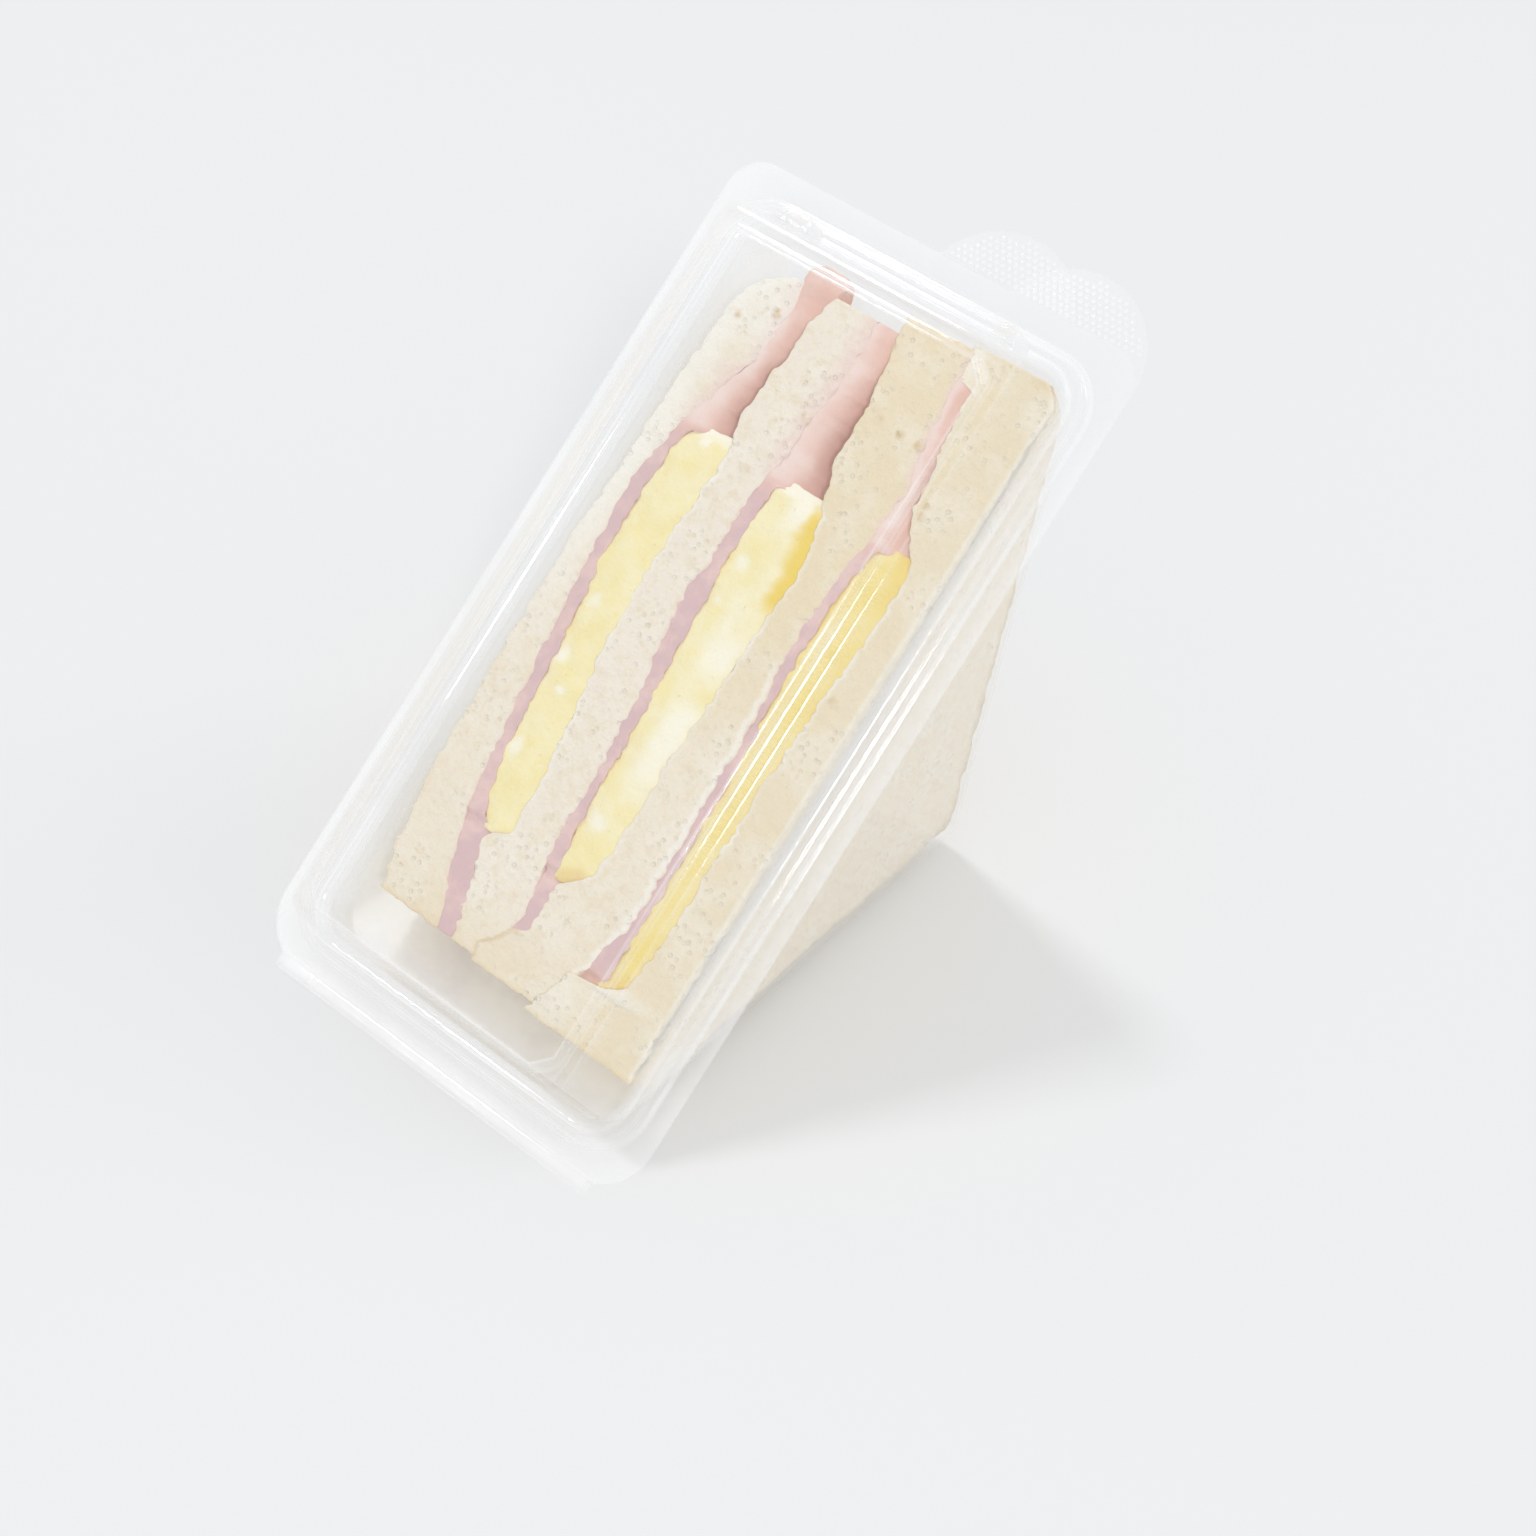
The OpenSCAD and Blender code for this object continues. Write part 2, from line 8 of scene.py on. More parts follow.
import bpy
import numpy as np
from mathutils import Euler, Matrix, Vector


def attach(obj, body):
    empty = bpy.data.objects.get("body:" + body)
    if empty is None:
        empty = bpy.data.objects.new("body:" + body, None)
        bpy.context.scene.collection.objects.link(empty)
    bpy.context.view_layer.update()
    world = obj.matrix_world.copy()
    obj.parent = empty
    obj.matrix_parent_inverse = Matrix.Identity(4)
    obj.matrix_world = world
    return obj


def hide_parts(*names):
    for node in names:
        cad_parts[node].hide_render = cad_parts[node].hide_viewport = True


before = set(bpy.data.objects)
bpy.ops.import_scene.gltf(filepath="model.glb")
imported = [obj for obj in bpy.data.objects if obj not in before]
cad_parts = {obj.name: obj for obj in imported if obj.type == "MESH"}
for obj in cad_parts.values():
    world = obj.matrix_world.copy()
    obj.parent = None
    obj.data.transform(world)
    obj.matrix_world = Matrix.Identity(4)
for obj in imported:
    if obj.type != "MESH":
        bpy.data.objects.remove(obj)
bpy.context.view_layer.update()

# How the pack lies
LIE = np.radians(43.3451)
MIDDLE_Y = 59.81928
GROUND_Z = -2.38639

# Pack
HALF_W = 42.0
PACK_L = 161.0
WALL = 0.4
FLANGE_GAP = 0.2
LID_TOP = FLANGE_GAP / 2 + WALL
BASE_TOP = -FLANGE_GAP / 2
FLANGE = (3.5, 3.4, 5.0)
FLANGE_R = 6.5
HINGE_CORNER_R = 10.0
HINGE_CORNER_CUT = 0.8
EDGE = 0.45

# Rim and dome
RIM_R = 10.0
LEDGE_W = 2.5
LEDGE_Z = LID_TOP + 2.6
RIM_SLACK = 0.25
PANEL_Z = LID_TOP + 20.2
SHOULDER_Z = PANEL_Z - 3.0
WALL_RUN = (4.6, 3.8, 3.2)
SHOULDER = (2.4, 1.7, 3.3)
DOME_FOOT_R = 7.0
DOME_TOP_R = 2.6
PANEL_CUT = 3.7
LUG_R = 2.8
LUG_X = 21.5
LUG_H = 6.0
LUG_CY = PACK_L - FLANGE[2] - 2 * EDGE - 0.3 - LUG_R

# Pocket
MOUTH = (9.0, 7.6, 9.3)
MOUTH_R = 6.0
DRAFT = np.tan(np.radians(1.0))
APEX_R = 5.0
APEX_Y = 80.0
APEX_Z = -79.0 + (APEX_R + WALL) * np.sqrt(2)

# Hinge and tabs
HINGE_R = 1.7
HINGE_Y = WALL + 0.3 - HINGE_R
HINGE_OUTER = (10.2, 178.6)
HINGE_INNER = (178.2, 13.4)
FOLD_HALF = 35.919
HINGE_END_GAP = 0.6
TAB_R = 14.5
TAB_Y = PACK_L + 9.3 - TAB_R
TAB_HALF = np.sqrt(TAB_R**2 - (PACK_L - TAB_Y) ** 2)
DOT_ACROSS, DOT_ALONG = 1.3, 1.05
DOT_FOOT_R, DOT_TOP_R = 0.38, 0.25
DOT_EDGE_H, DOT_H, DOT_SUNK = 0.15, 0.2, 0.02
DOT_FROM_FLANGE, DOT_FROM_RIM, DOT_FROM_SIDE = 0.7, 1.2, 1.4
LID_TAB_X = 13.4
BASE_TAB_X = HALF_W - TAB_R


def stand(points):
    """Metres in the scene for points in the plane of the flange."""
    x, y, z = np.asarray(points, float).T
    c, s = np.cos(LIE), np.sin(LIE)
    return np.c_[x, y * c - z * s - MIDDLE_Y, y * s + z * c - GROUND_Z] / 1000


# Large odd numbers that stir a cell's place and the seed together
STIR_PLACE = np.array([374761393, 668265263, 1013904223])
STIR_SEED = 97531
STIR_AGAIN = 1274126177
ALL_BITS = 0xFFFFFFFF


def lattice(cell, seed):
    """A fixed number from 0 to 1 for each whole-numbered cell."""
    n = cell @ STIR_PLACE + seed * STIR_SEED
    n &= ALL_BITS
    n = ((n ^ (n >> 13)) * STIR_AGAIN) & ALL_BITS
    return (n ^ (n >> 16)) / ALL_BITS


def ripple(points, size, seed=0):
    """Smooth noise from -1 to 1 whose lumps are about size millimetres across."""
    p = np.asarray(points, float) / size
    low = np.floor(p).astype(np.int64)
    f = p - low
    f = f * f * (3 - 2 * f)
    total = 0
    for i in (0, 1):
        for j in (0, 1):
            for k in (0, 1):
                share = (f[:, 0] if i else 1 - f[:, 0]) * (f[:, 1] if j else 1 - f[:, 1])
                share = share * (f[:, 2] if k else 1 - f[:, 2])
                total = total + share * lattice(low + [i, j, k], seed)
    return 2 * total - 1


def pits(points, size, seed=0):
    """Distance to the nearest of scattered points about size millimetres apart, and that
    point's own number from 0 to 1."""
    p = np.asarray(points, float) / size
    low = np.floor(p).astype(np.int64)
    best = np.full(len(p), 9.0)
    number = np.zeros(len(p))
    for i in (-1, 0, 1):
        for j in (-1, 0, 1):
            for k in (-1, 0, 1):
                cell = low + [i, j, k]
                off = [lattice(cell, seed + axis) for axis in range(3)]
                d = np.linalg.norm(p - (cell + np.stack(off, axis=1)), axis=1)
                closer = d < best
                best[closer] = d[closer]
                number[closer] = lattice(cell, seed + 3)[closer]
    return best * size, number


def ease(t):
    """0 below 0 and 1 above 1, eased between."""
    t = np.clip(t, 0, 1)
    return t * t * (3 - 2 * t)


def rise(at, start, run):
    """0 up to start, then eased to 1 over the run."""
    return ease((at - start) / run)


def fall(at, end, run):
    """0 from end on, and eased to 1 over the run before it."""
    return ease((end - at) / run)


def round_off(at, end, r, most=1.0):
    """How far a corner of radius r draws a side in before its end."""
    return r * (1 - np.sqrt(1 - np.clip((at - end + r) / r, 0, most) ** 2))


# Shader maths


class Wire:
    """A value, colour or vector in a material, for use in expressions."""

    def __init__(self, finish, socket):
        self.finish, self.socket = finish, socket

    def maths(self, operation, a, b):
        return self.finish.node("ShaderNodeMath", {"operation": operation}, {0: a, 1: b})

    def __add__(self, other):
        return self.maths("ADD", self, other)

    def __sub__(self, other):
        return self.maths("SUBTRACT", self, other)

    def __rsub__(self, other):
        return self.maths("SUBTRACT", other, self)

    def __mul__(self, other):
        return self.maths("MULTIPLY", self, other)

    def __pow__(self, other):
        return self.maths("POWER", self, other)

    __radd__ = __add__
    __rmul__ = __mul__


class Finish:
    """A material under construction, or the light of the world."""

    def __init__(self, name, owner=None):
        self.owner = owner or bpy.data.materials.new(name)
        self.owner.use_nodes = True
        self.tree = self.owner.node_tree
        self.tree.nodes.clear()
        self.place = None if owner else self.node("ShaderNodeTexCoord", out="Object")

    def node(self, kind, settings=None, sockets=None, out=0):
        n = self.tree.nodes.new(kind)
        for key, value in (settings or {}).items():
            setattr(n, key, value)
        for key, value in (sockets or {}).items():
            if isinstance(value, Wire):
                self.tree.links.new(value.socket, n.inputs[key])
            else:
                n.inputs[key].default_value = value
        return Wire(self, n.outputs[out])

    def noise(self, size, detail=2.0, rough=0.5):
        """Noise whose lumps are about size millimetres across."""
        return self.node(
            "ShaderNodeTexNoise",
            None,
            {"Vector": self.place, "Scale": 1000 / size, "Detail": detail, "Roughness": rough},
        )

    def step(self, value, low, high):
        """0 below low and 1 above high, eased between."""
        return self.node(
            "ShaderNodeMapRange",
            {"interpolation_type": "SMOOTHSTEP"},
            {"Value": value, "From Min": low, "From Max": high},
        )

    def blend(self, factor, a, b):
        return self.node(
            "ShaderNodeMix", {"data_type": "RGBA"}, {"Factor": factor, "A": a, "B": b}, out="Result"
        )

    def measured(self, name):
        """A number kept on the mesh."""
        return self.node("ShaderNodeAttribute", {"attribute_name": name}, out="Fac")

    def bump(self, height, millimetres):
        """Normals of a relief as deep as so many millimetres."""
        return self.node(
            "ShaderNodeBump",
            None,
            {"Height": height, "Distance": millimetres / 1000, "Strength": 1.0},
        )

    def soft_solid(self, colour, roughness, gloss, normal):
        return self.finished(self.node(
            "ShaderNodeBsdfPrincipled",
            None,
            {
                "Base Color": colour,
                "Roughness": roughness,
                "Specular IOR Level": gloss,
                "Normal": normal,
            },
        ))

    def finished(self, shader, kind="ShaderNodeOutputMaterial"):
        out = self.tree.nodes.new(kind)
        self.tree.links.new(shader.socket, out.inputs["Surface"])
        return self.owner


def tint(r, g, b):
    """A colour as it looks on a screen, 0 to 255, made linear."""
    return tuple(((c / 255 + 0.055) / 1.055) ** 2.4 for c in (r, g, b)) + (1.0,)


# Finishes


def clear_film():
    """Thin clear sheet: clear face on, a mirror at a slant, whiter in streaks where it is bent and
    stretched, and where painted light whitens it.
    """
    f = Finish("clear_film")
    facing = f.node("ShaderNodeLayerWeight", None, {"Blend": 0.5}, out="Facing")
    streaks = f.noise(14, 2)
    mirror = f.node(
        "ShaderNodeBsdfAnisotropic",
        None,
        {
            "Color": (1, 1, 1, 1),
            "Roughness": 0.05 * streaks,
            "Normal": f.bump(f.noise(9, 1), 0.012),
        },
    )
    clear = f.node("ShaderNodeBsdfTransparent", None, {"Color": (0.999, 0.999, 0.999, 1)})
    milk = f.node("ShaderNodeBsdfDiffuse", None, {"Color": (0.985, 0.985, 0.985, 1)})
    sheet = f.node("ShaderNodeMixShader", None, {0: 0.04 + 0.56 * facing**6, 1: clear, 2: mirror})
    # The film's whiteness: stretched film at bends, and painted light on its left side and at the
    # tray's hinge end.
    stretch_and_light = f.measured("stretch_and_light") * (0.6 + 0.4 * f.step(streaks, 0.36, 0.58))
    haze = 0.010 + 0.10 * facing**3 + 0.55 * stretch_and_light
    return f.finished(f.node("ShaderNodeMixShader", None, {0: haze, 1: sheet, 2: milk}))


def bread_crumb():
    f = Finish("bread_crumb")
    soft = f.noise(8, 2)
    grain = f.noise(1.1, 4, 0.7)
    colour = f.blend(f.measured("warm"), tint(244, 235, 220), tint(237, 221, 186))
    colour = f.blend(f.step(soft, 0.42, 0.66) * 0.4, colour, tint(247, 241, 228))
    colour = f.blend(f.step(f.noise(2.6, 4, 0.6), 0.48, 0.66) * 0.5, colour, tint(236, 219, 188))
    colour = f.blend(f.step(grain, 0.52, 0.66) * 0.4, colour, tint(233, 216, 186))
    cell = f.node(
        "ShaderNodeTexVoronoi", None, {"Vector": f.place, "Scale": 1000 / 1.5}, out="Distance"
    )
    pore = (1 - f.step(cell, 0.12, 0.36)) * f.step(soft, 0.40, 0.58)
    colour = f.blend(pore * 0.16, colour, tint(222, 200, 164))
    # Painted pink glow of light from the ham on the crumb beside it.
    ham_glow = f.measured("ham_glow") * (0.4 + 0.6 * f.step(grain, 0.30, 0.60))
    colour = f.blend(ham_glow, colour, tint(239, 213, 203))
    # Paler crumb: moist beside the egg, and on the first slice a painted haze of the film in front.
    colour = f.blend(f.measured("moist_and_haze") * 0.75, colour, tint(252, 250, 243))
    colour = f.blend(f.measured("mark"), colour, tint(221, 194, 150))
    colour = f.blend(f.measured("crust"), colour, tint(232, 206, 158))
    # Painted shade on the last slice's right side, just under the flange.
    colour = f.blend(f.measured("painted_shade"), colour, tint(208, 205, 200))
    return f.soft_solid(colour, 0.86, 0.25, f.bump(grain - 0.5 * pore, 0.38))


def boiled_egg():
    f = Finish("boiled_egg")
    soft = f.noise(5, 3)
    grain = f.noise(0.9, 3, 0.6)
    colour = f.blend(f.step(soft, 0.36, 0.66), tint(247, 236, 188), tint(245, 230, 167))
    colour = f.blend(f.measured("pale"), colour, tint(251, 247, 230))
    colour = f.blend(f.measured("yolk"), colour, tint(239, 209, 84))
    colour = f.blend(f.step(grain, 0.66, 0.74) * 0.5, colour, tint(224, 190, 110))
    colour = f.blend(f.measured("rust"), colour, tint(226, 184, 100))
    return f.soft_solid(colour, 0.40 + 0.2 * soft, 0.4, f.bump(grain, 0.22))


def sliced_ham():
    f = Finish("sliced_ham")
    soft = f.noise(5, 3, 0.55)
    grain = f.noise(1.0, 3, 0.6)
    colour = f.blend(f.measured("mauve"), tint(229, 185, 169), tint(213, 180, 180))
    colour = f.blend(f.step(soft, 0.40, 0.66) * 0.5, colour, tint(240, 208, 197))
    colour = f.blend(f.step(grain, 0.58, 0.70) * 0.35, colour, tint(222, 172, 164))
    # Painted shade: the ham darkens the deeper its face lies below the cut face, in the gaps
    # between slices.
    colour = f.blend(f.step(f.measured("deep"), 0.4, 3.2) * 0.95, colour, tint(198, 146, 134))
    # Painted light: the ham's face is paler near its left edge where it lies open above the egg.
    colour = f.blend(f.measured("pale") * (0.75 + 0.5 * (soft - 0.5)), colour, tint(241, 221, 212))
    return f.soft_solid(colour, 0.36 + 0.2 * soft, 0.5, f.bump(grain, 0.14))


def studio_floor():
    f = Finish("studio_floor")
    soft = f.noise(900, 2, 1.0)
    return f.finished(
        f.node(
            "ShaderNodeBsdfDiffuse",
            None,
            {"Color": f.blend(soft, tint(232, 233, 234), tint(236, 237, 238))},
        )
    )


def place(name, points, faces, finish, body, keep=None):
    """A mesh of points in the plane of the flange, dressed, riding on its body and standing in
    its node's place. keep holds values for the material, one for each point."""
    mesh = bpy.data.meshes.new(name)
    mesh.from_pydata(stand(points).tolist(), [], [list(map(int, face)) for face in faces])
    mesh.validate()
    mesh.polygons.foreach_set("use_smooth", [True] * len(mesh.polygons))
    for key, values in (keep or {}).items():
        kept = mesh.attributes.new(key, "FLOAT", "POINT")
        kept.data.foreach_set("value", np.asarray(values, float))
    piece = bpy.data.objects.new(name + "_skin", mesh)
    bpy.context.scene.collection.objects.link(piece)
    mesh.materials.append(finish)
    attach(piece, body)
    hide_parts(name)
    return piece


# Film shells

CORNER_N = 14
SIDE_N = 44
HINGE_N = 12
ROLL_N = 22
FOLD_N = 15
DOT_ROWS, DOT_SIDE_COLUMNS = 9, 11
WAVE_SIZE, WAVE_SQUASH = 19, [1, 1, 1.6]
WAVE_DEPTH, WAVE_SHARE = 0.06, [0.5, 0.3, 0.8]
SHARP_BEND = np.radians(50)


def arc(cx, cy, r, a0, a1, cut=0.0):
    """Points along an arc, or along its chord as cut goes to 1."""
    t = np.linspace(0, 1, CORNER_N + 1)[:, None]
    a = np.radians(a0 + (a1 - a0) * t)
    curve = np.hstack([np.cos(a), np.sin(a)])
    chord = curve[:1] * (1 - t) + curve[-1:] * t
    return [cx, cy] + r * (curve * (1 - cut) + chord * cut)


def end_places():
    """Places across the opening end that the tabs and lugs need, from right to left."""
    turn = np.radians(np.arange(0, 181, 4.0))
    places = [LID_TAB_X + TAB_R * np.cos(turn), BASE_TAB_X + TAB_R * np.cos(turn)]
    lug_turn = np.radians(np.arange(0, 181, 10.0))
    places += [side * LUG_X + LUG_R * np.cos(lug_turn) for side in (1, -1)]
    places += [np.linspace(-24, 24, 25), [LID_TAB_X + TAB_HALF, LID_TAB_X - TAB_HALF]]
    places += [[BASE_TAB_X, BASE_TAB_X - TAB_HALF]]
    kept = []
    for x in sorted(np.concatenate(places), reverse=True):
        if x <= BASE_TAB_X and x > -25 and (not kept or kept[-1] - x > 0.12):
            kept.append(x)
    return np.array(kept)


END_X = end_places()
LUG_SHARE = np.sqrt(np.clip(1 - ((np.abs(END_X) - LUG_X) / LUG_R) ** 2, 0, None))


def run(a, b, n):
    """Points strictly between two corners."""
    return np.linspace(a, b, n + 2)[1:-1]


def outline(corners, end):
    """The closed line round the pack through its four corners and its opening end."""
    low_right, high_right, high_left, low_left = corners
    return np.vstack([
        low_right,
        run(low_right[-1], high_right[0], SIDE_N),
        high_right,
        end,
        high_left,
        run(high_left[-1], low_left[0], SIDE_N),
        low_left,
        run(low_left[-1], low_right[0], HINGE_N)])


def ring(station, thinner=0.0):
    """The line round the pack at a station. A station holds how far in it lies at the sides, the
    hinge and the opening end, its corner radius, its height, its share of the lugs and how far
    its corners are cut."""
    side, hinge, opening, r, z, lug, cut = station
    a, low, high = HALF_W - side, hinge + r, PACK_L - opening - r
    y = np.full(len(END_X), PACK_L - opening)
    standing = lug * LUG_SHARE > 0
    y[standing] = np.maximum(y, LUG_CY + (lug * LUG_R - thinner) * LUG_SHARE)[standing]
    end = np.c_[END_X * min(1, (a - r - 0.2) / END_X[0]), y]
    line = outline([arc(a - r, low, r, -90, 0, cut), arc(a - r, high, r, 0, 90, cut),
                    arc(-a + r, high, r, 90, 180, cut), arc(-a + r, low, r, 180, 270, cut)], end)
    return np.c_[line, np.full(len(line), z)]


def flange_line(z, tab_x):
    """The flange's own edge, with a round tab centred on tab_x."""
    a0 = -np.degrees(np.arcsin(1 - HINGE_CORNER_CUT / HINGE_CORNER_R))
    low, high = HINGE_CORNER_R - HINGE_CORNER_CUT, PACK_L - FLANGE_R
    tab = np.abs(END_X - tab_x) < TAB_HALF
    edge = TAB_Y + np.sqrt(np.clip(TAB_R**2 - (END_X - tab_x) ** 2, 0, None))
    right = (arc(HALF_W - FLANGE_R, high, FLANGE_R, 0, 90) if tab_x + TAB_R < HALF_W
             else arc(tab_x, TAB_Y, TAB_R, 0, 84))
    line = outline([arc(HALF_W - HINGE_CORNER_R, low, HINGE_CORNER_R, a0, 0), right,
                    arc(-HALF_W + FLANGE_R, high, FLANGE_R, 90, 180),
                    arc(-HALF_W + HINGE_CORNER_R, low, HINGE_CORNER_R, 180, 180 - a0)],
                   np.c_[END_X, np.where(tab, edge, PACK_L)])
    return np.c_[line, np.full(len(line), z)]


def rounded(stations, reach):
    """The same run of stations with every bend drawn as a small curve, and how far the film is
    stretched at each: most in a bend, some on a steep wall."""
    s = [np.array(station, float) for station in stations]
    rows, bent = [s[0]], [0.0]
    for before, at, after, r in zip(s, s[1:], s[2:], reach):
        a, b = before - at, after - at
        la, lb = max(1e-6, np.hypot(a[0], a[4])), max(1e-6, np.hypot(b[0], b[4]))
        turn = min(1, 0.25 + 1.3 * (1 + (a[0] * b[0] + a[4] * b[4]) / la / lb))
        steep = 0.15 * (a[4] / la) ** 2, 0.15 * (b[4] / lb) ** 2
        a, b = at + a * min(0.48, r / la), at + b * min(0.48, r / lb)
        for t in np.linspace(0, 1, 6):
            rows.append((1 - t) ** 2 * a + 2 * t * (1 - t) * at + t * t * b)
            bent.append(max(turn * (4 * t * (1 - t)) ** 1.6, (1 - t) * steep[0] + t * steep[1]))
    return rows + [s[-1]], bent + [0.0]


def under(rows, d):
    """The same stations on the sheet's other face."""
    flat = [np.array([r[0], r[4]]) for r in rows]
    into = []
    for a, b in zip(flat, flat[1:]):
        step = (b - a) / max(1e-9, np.linalg.norm(b - a))
        into.append(np.array([step[1], -step[0]]))
    below = []
    for i, row in enumerate(rows):
        a, b = into[max(0, i - 1)], into[min(i, len(into) - 1)]
        m = (a + b) / (1 + a @ b) * d
        below.append(np.array([row[0] + m[0], row[1] + m[0], row[2] + m[0],
                               max(0.4, row[3] - m[0]), row[4] + m[1], row[5], row[6]]))
    return below


def skin(rings):
    """Points and faces of a solid over a row of closed lines, its ends closed round a centre."""
    n = len(rings[0])
    points = np.vstack(rings + [[rings[0].mean(0)], [rings[-1].mean(0)]])
    k = np.arange(n)
    m = (k + 1) % n
    faces = [[len(rings) * n, a, b] for a, b in zip(k, m)]
    for i in range(len(rings) - 1):
        p, q = i * n, (i + 1) * n
        faces += np.c_[p + k, q + k, q + m, p + m].tolist()
    last = (len(rings) - 1) * n
    faces += [[len(rings) * n + 1, last + b, last + a] for a, b in zip(k, m)]
    return points, faces


def hinge_half(up):
    """Half of the rolled film hinge."""
    outer = np.radians(np.linspace(*HINGE_OUTER, ROLL_N))
    inner = np.radians(np.linspace(*HINGE_INNER, ROLL_N))
    r = HINGE_R - WALL
    profile = np.vstack([np.c_[HINGE_R * np.cos(outer), HINGE_R * np.sin(outer)],
                         np.c_[r * np.cos(inner), r * np.sin(inner)]])
    xs = np.linspace(-1, 1, FOLD_N) * (FOLD_HALF - HINGE_END_GAP)
    n = len(profile)
    points = np.vstack([
        np.c_[np.full(n, x), HINGE_Y + profile[:, 0], up * profile[:, 1]] for x in xs])
    faces = [[i * n + k, (i + 1) * n + k, (i + 1) * n + (k + 1) % n, i * n + (k + 1) % n]
             for i in range(len(xs) - 1) for k in range(n)]
    for i, flip in ((0, 1), (len(xs) - 1, -1)):
        for k in range(ROLL_N - 1):
            quad = [i * n + k, i * n + k + 1, i * n + n - 2 - k, i * n + n - 1 - k]
            faces.append(quad[::flip])
    return points, faces if up > 0 else [face[::-1] for face in faces]


def grip_dots(tab_x, z, up):
    """Rows of small raised dots on a tab."""
    points, faces = [], []
    turn = np.radians(np.arange(0, 360, 45))
    for i in range(-DOT_SIDE_COLUMNS, DOT_SIDE_COLUMNS + 1):
        for j in range(DOT_ROWS):
            x, y = tab_x + DOT_ACROSS * (i + (j % 2) / 2), PACK_L + DOT_FROM_FLANGE + DOT_ALONG * j
            from_middle = np.hypot(x - tab_x, y - TAB_Y)
            if from_middle > TAB_R - DOT_FROM_RIM or x > HALF_W - DOT_FROM_SIDE:
                continue
            dot = []
            for r, height in ((DOT_FOOT_R, -DOT_SUNK), (DOT_TOP_R, DOT_EDGE_H)):
                dot += [[x + r * np.cos(a), y + r * np.sin(a), z + height * up] for a in turn]
            dot += [[x, y, z + DOT_H * up], [x, y, z - DOT_SUNK * up]]
            base, n = len(points), len(turn)
            for k in range(n):
                m = (k + 1) % n
                more = [[k, m, n + m, n + k], [n + k, n + m, 2 * n], [m, k, 2 * n + 1]]
                faces += [[base + v for v in (face if up > 0 else face[::-1])] for face in more]
            points += dot
    return np.array(points), faces


def shell(name, parts, body):
    """One film piece out of several skins, each with how far its film is stretched and whitened,
    and with slight forming waves. The film is held above the ground."""
    points, faces, stretch_and_light = [], [], []
    for more, their, bent in parts:
        base = sum(map(len, points))
        points.append(more)
        stretch_and_light.append(np.broadcast_to(bent, len(more)))
        faces += [[base + v for v in face] for face in their]
    points = np.vstack(points)
    wave = ripple(points * WAVE_SQUASH, WAVE_SIZE, 3) * WAVE_DEPTH
    points = points + wave[:, None] * WAVE_SHARE * rise(np.abs(points[:, 2:3]), 3.0, 4)
    points[:, 2] -= np.minimum(0, stand(points)[:, 2]) * 1000 / np.cos(LIE)
    x, y = points[:, 0], points[:, 1]
    stretch_and_light = np.concatenate(stretch_and_light) ** (1 + 0.8 * rise(y, 146, 5))
    # Painted light: the film is whitened less on the right side and more on the far left, as the
    # light falls.
    stretch_and_light = stretch_and_light * (1 - 0.55 * rise(x, 22, 12)) + 0.2 * fall(x, -29, 3)
    piece = place(name, points, faces, FILM, body, {"stretch_and_light": stretch_and_light})
    piece.data.set_sharp_from_angle(angle=SHARP_BEND)
    piece.visible_shadow = piece.visible_diffuse = False
    even = piece.modifiers.new("even_sheen", "WEIGHTED_NORMAL")
    even.keep_sharp = True
    even.weight = 60
    return piece


def along(bent, n):
    """One value for every point of a row of closed lines of n points, and for the two centres."""
    return np.r_[np.repeat(bent, n), 0, 0]


def lid_stations():
    foot = [f + EDGE + LEDGE_W for f in FLANGE]
    wall_h = SHOULDER_Z - LEDGE_Z

    def wall(share, lug):
        radius = DOME_FOOT_R + (DOME_TOP_R - DOME_FOOT_R) * share
        height = LEDGE_Z + 1 + (wall_h - 1) * share
        return [a + EDGE + b * share for a, b in zip(foot, WALL_RUN)] + [radius, height, lug, 0]

    def top(share, out, z, cut):
        radius = PANEL_CUT - out / 2 if cut else DOME_TOP_R
        steps = zip(foot, WALL_RUN, SHOULDER)
        return [a + EDGE + b + c * share + out for a, b, c in steps] + [radius, z, 0, cut]

    lug_top = LUG_H / wall_h
    rows = [
        [f - 1.0 for f in FLANGE] + [RIM_R + 0.8, LID_TOP, 0, 0],
        [*FLANGE, RIM_R, LID_TOP, 0, 0],
        [f + EDGE for f in FLANGE] + [RIM_R - 0.5, LEDGE_Z - 0.3, 0, 0],
        [f + 2 * EDGE for f in FLANGE] + [RIM_R - 1, LEDGE_Z, 0, 0],
        foot + [DOME_FOOT_R + 0.5, LEDGE_Z, 1, 0],
        wall(0, 1), wall(lug_top - 0.09, 1), wall(lug_top - 0.04, 0.95), wall(lug_top, 0.72),
        wall(lug_top + 0.015, 0), wall(lug_top + 0.1, 0), wall(1, 0),
        top(0.2, 0, SHOULDER_Z + 0.5, 0), top(0.9, 0, SHOULDER_Z + 1, 0),
        top(1, 0.2, SHOULDER_Z + 1.3, 1), top(1, 0.6, PANEL_Z - 0.4, 1), top(1, 1.1, PANEL_Z, 1),
        top(1, 2.2, PANEL_Z, 1)]
    reach = [0.5, 0.3, 0.3, 0.6, 0.5, 0.4, 0.3, 0.2, 0.1, 0.2, 0.7, 0.5, 0.4, 0.4, 0.4, 0.5]
    return rounded(rows, reach)


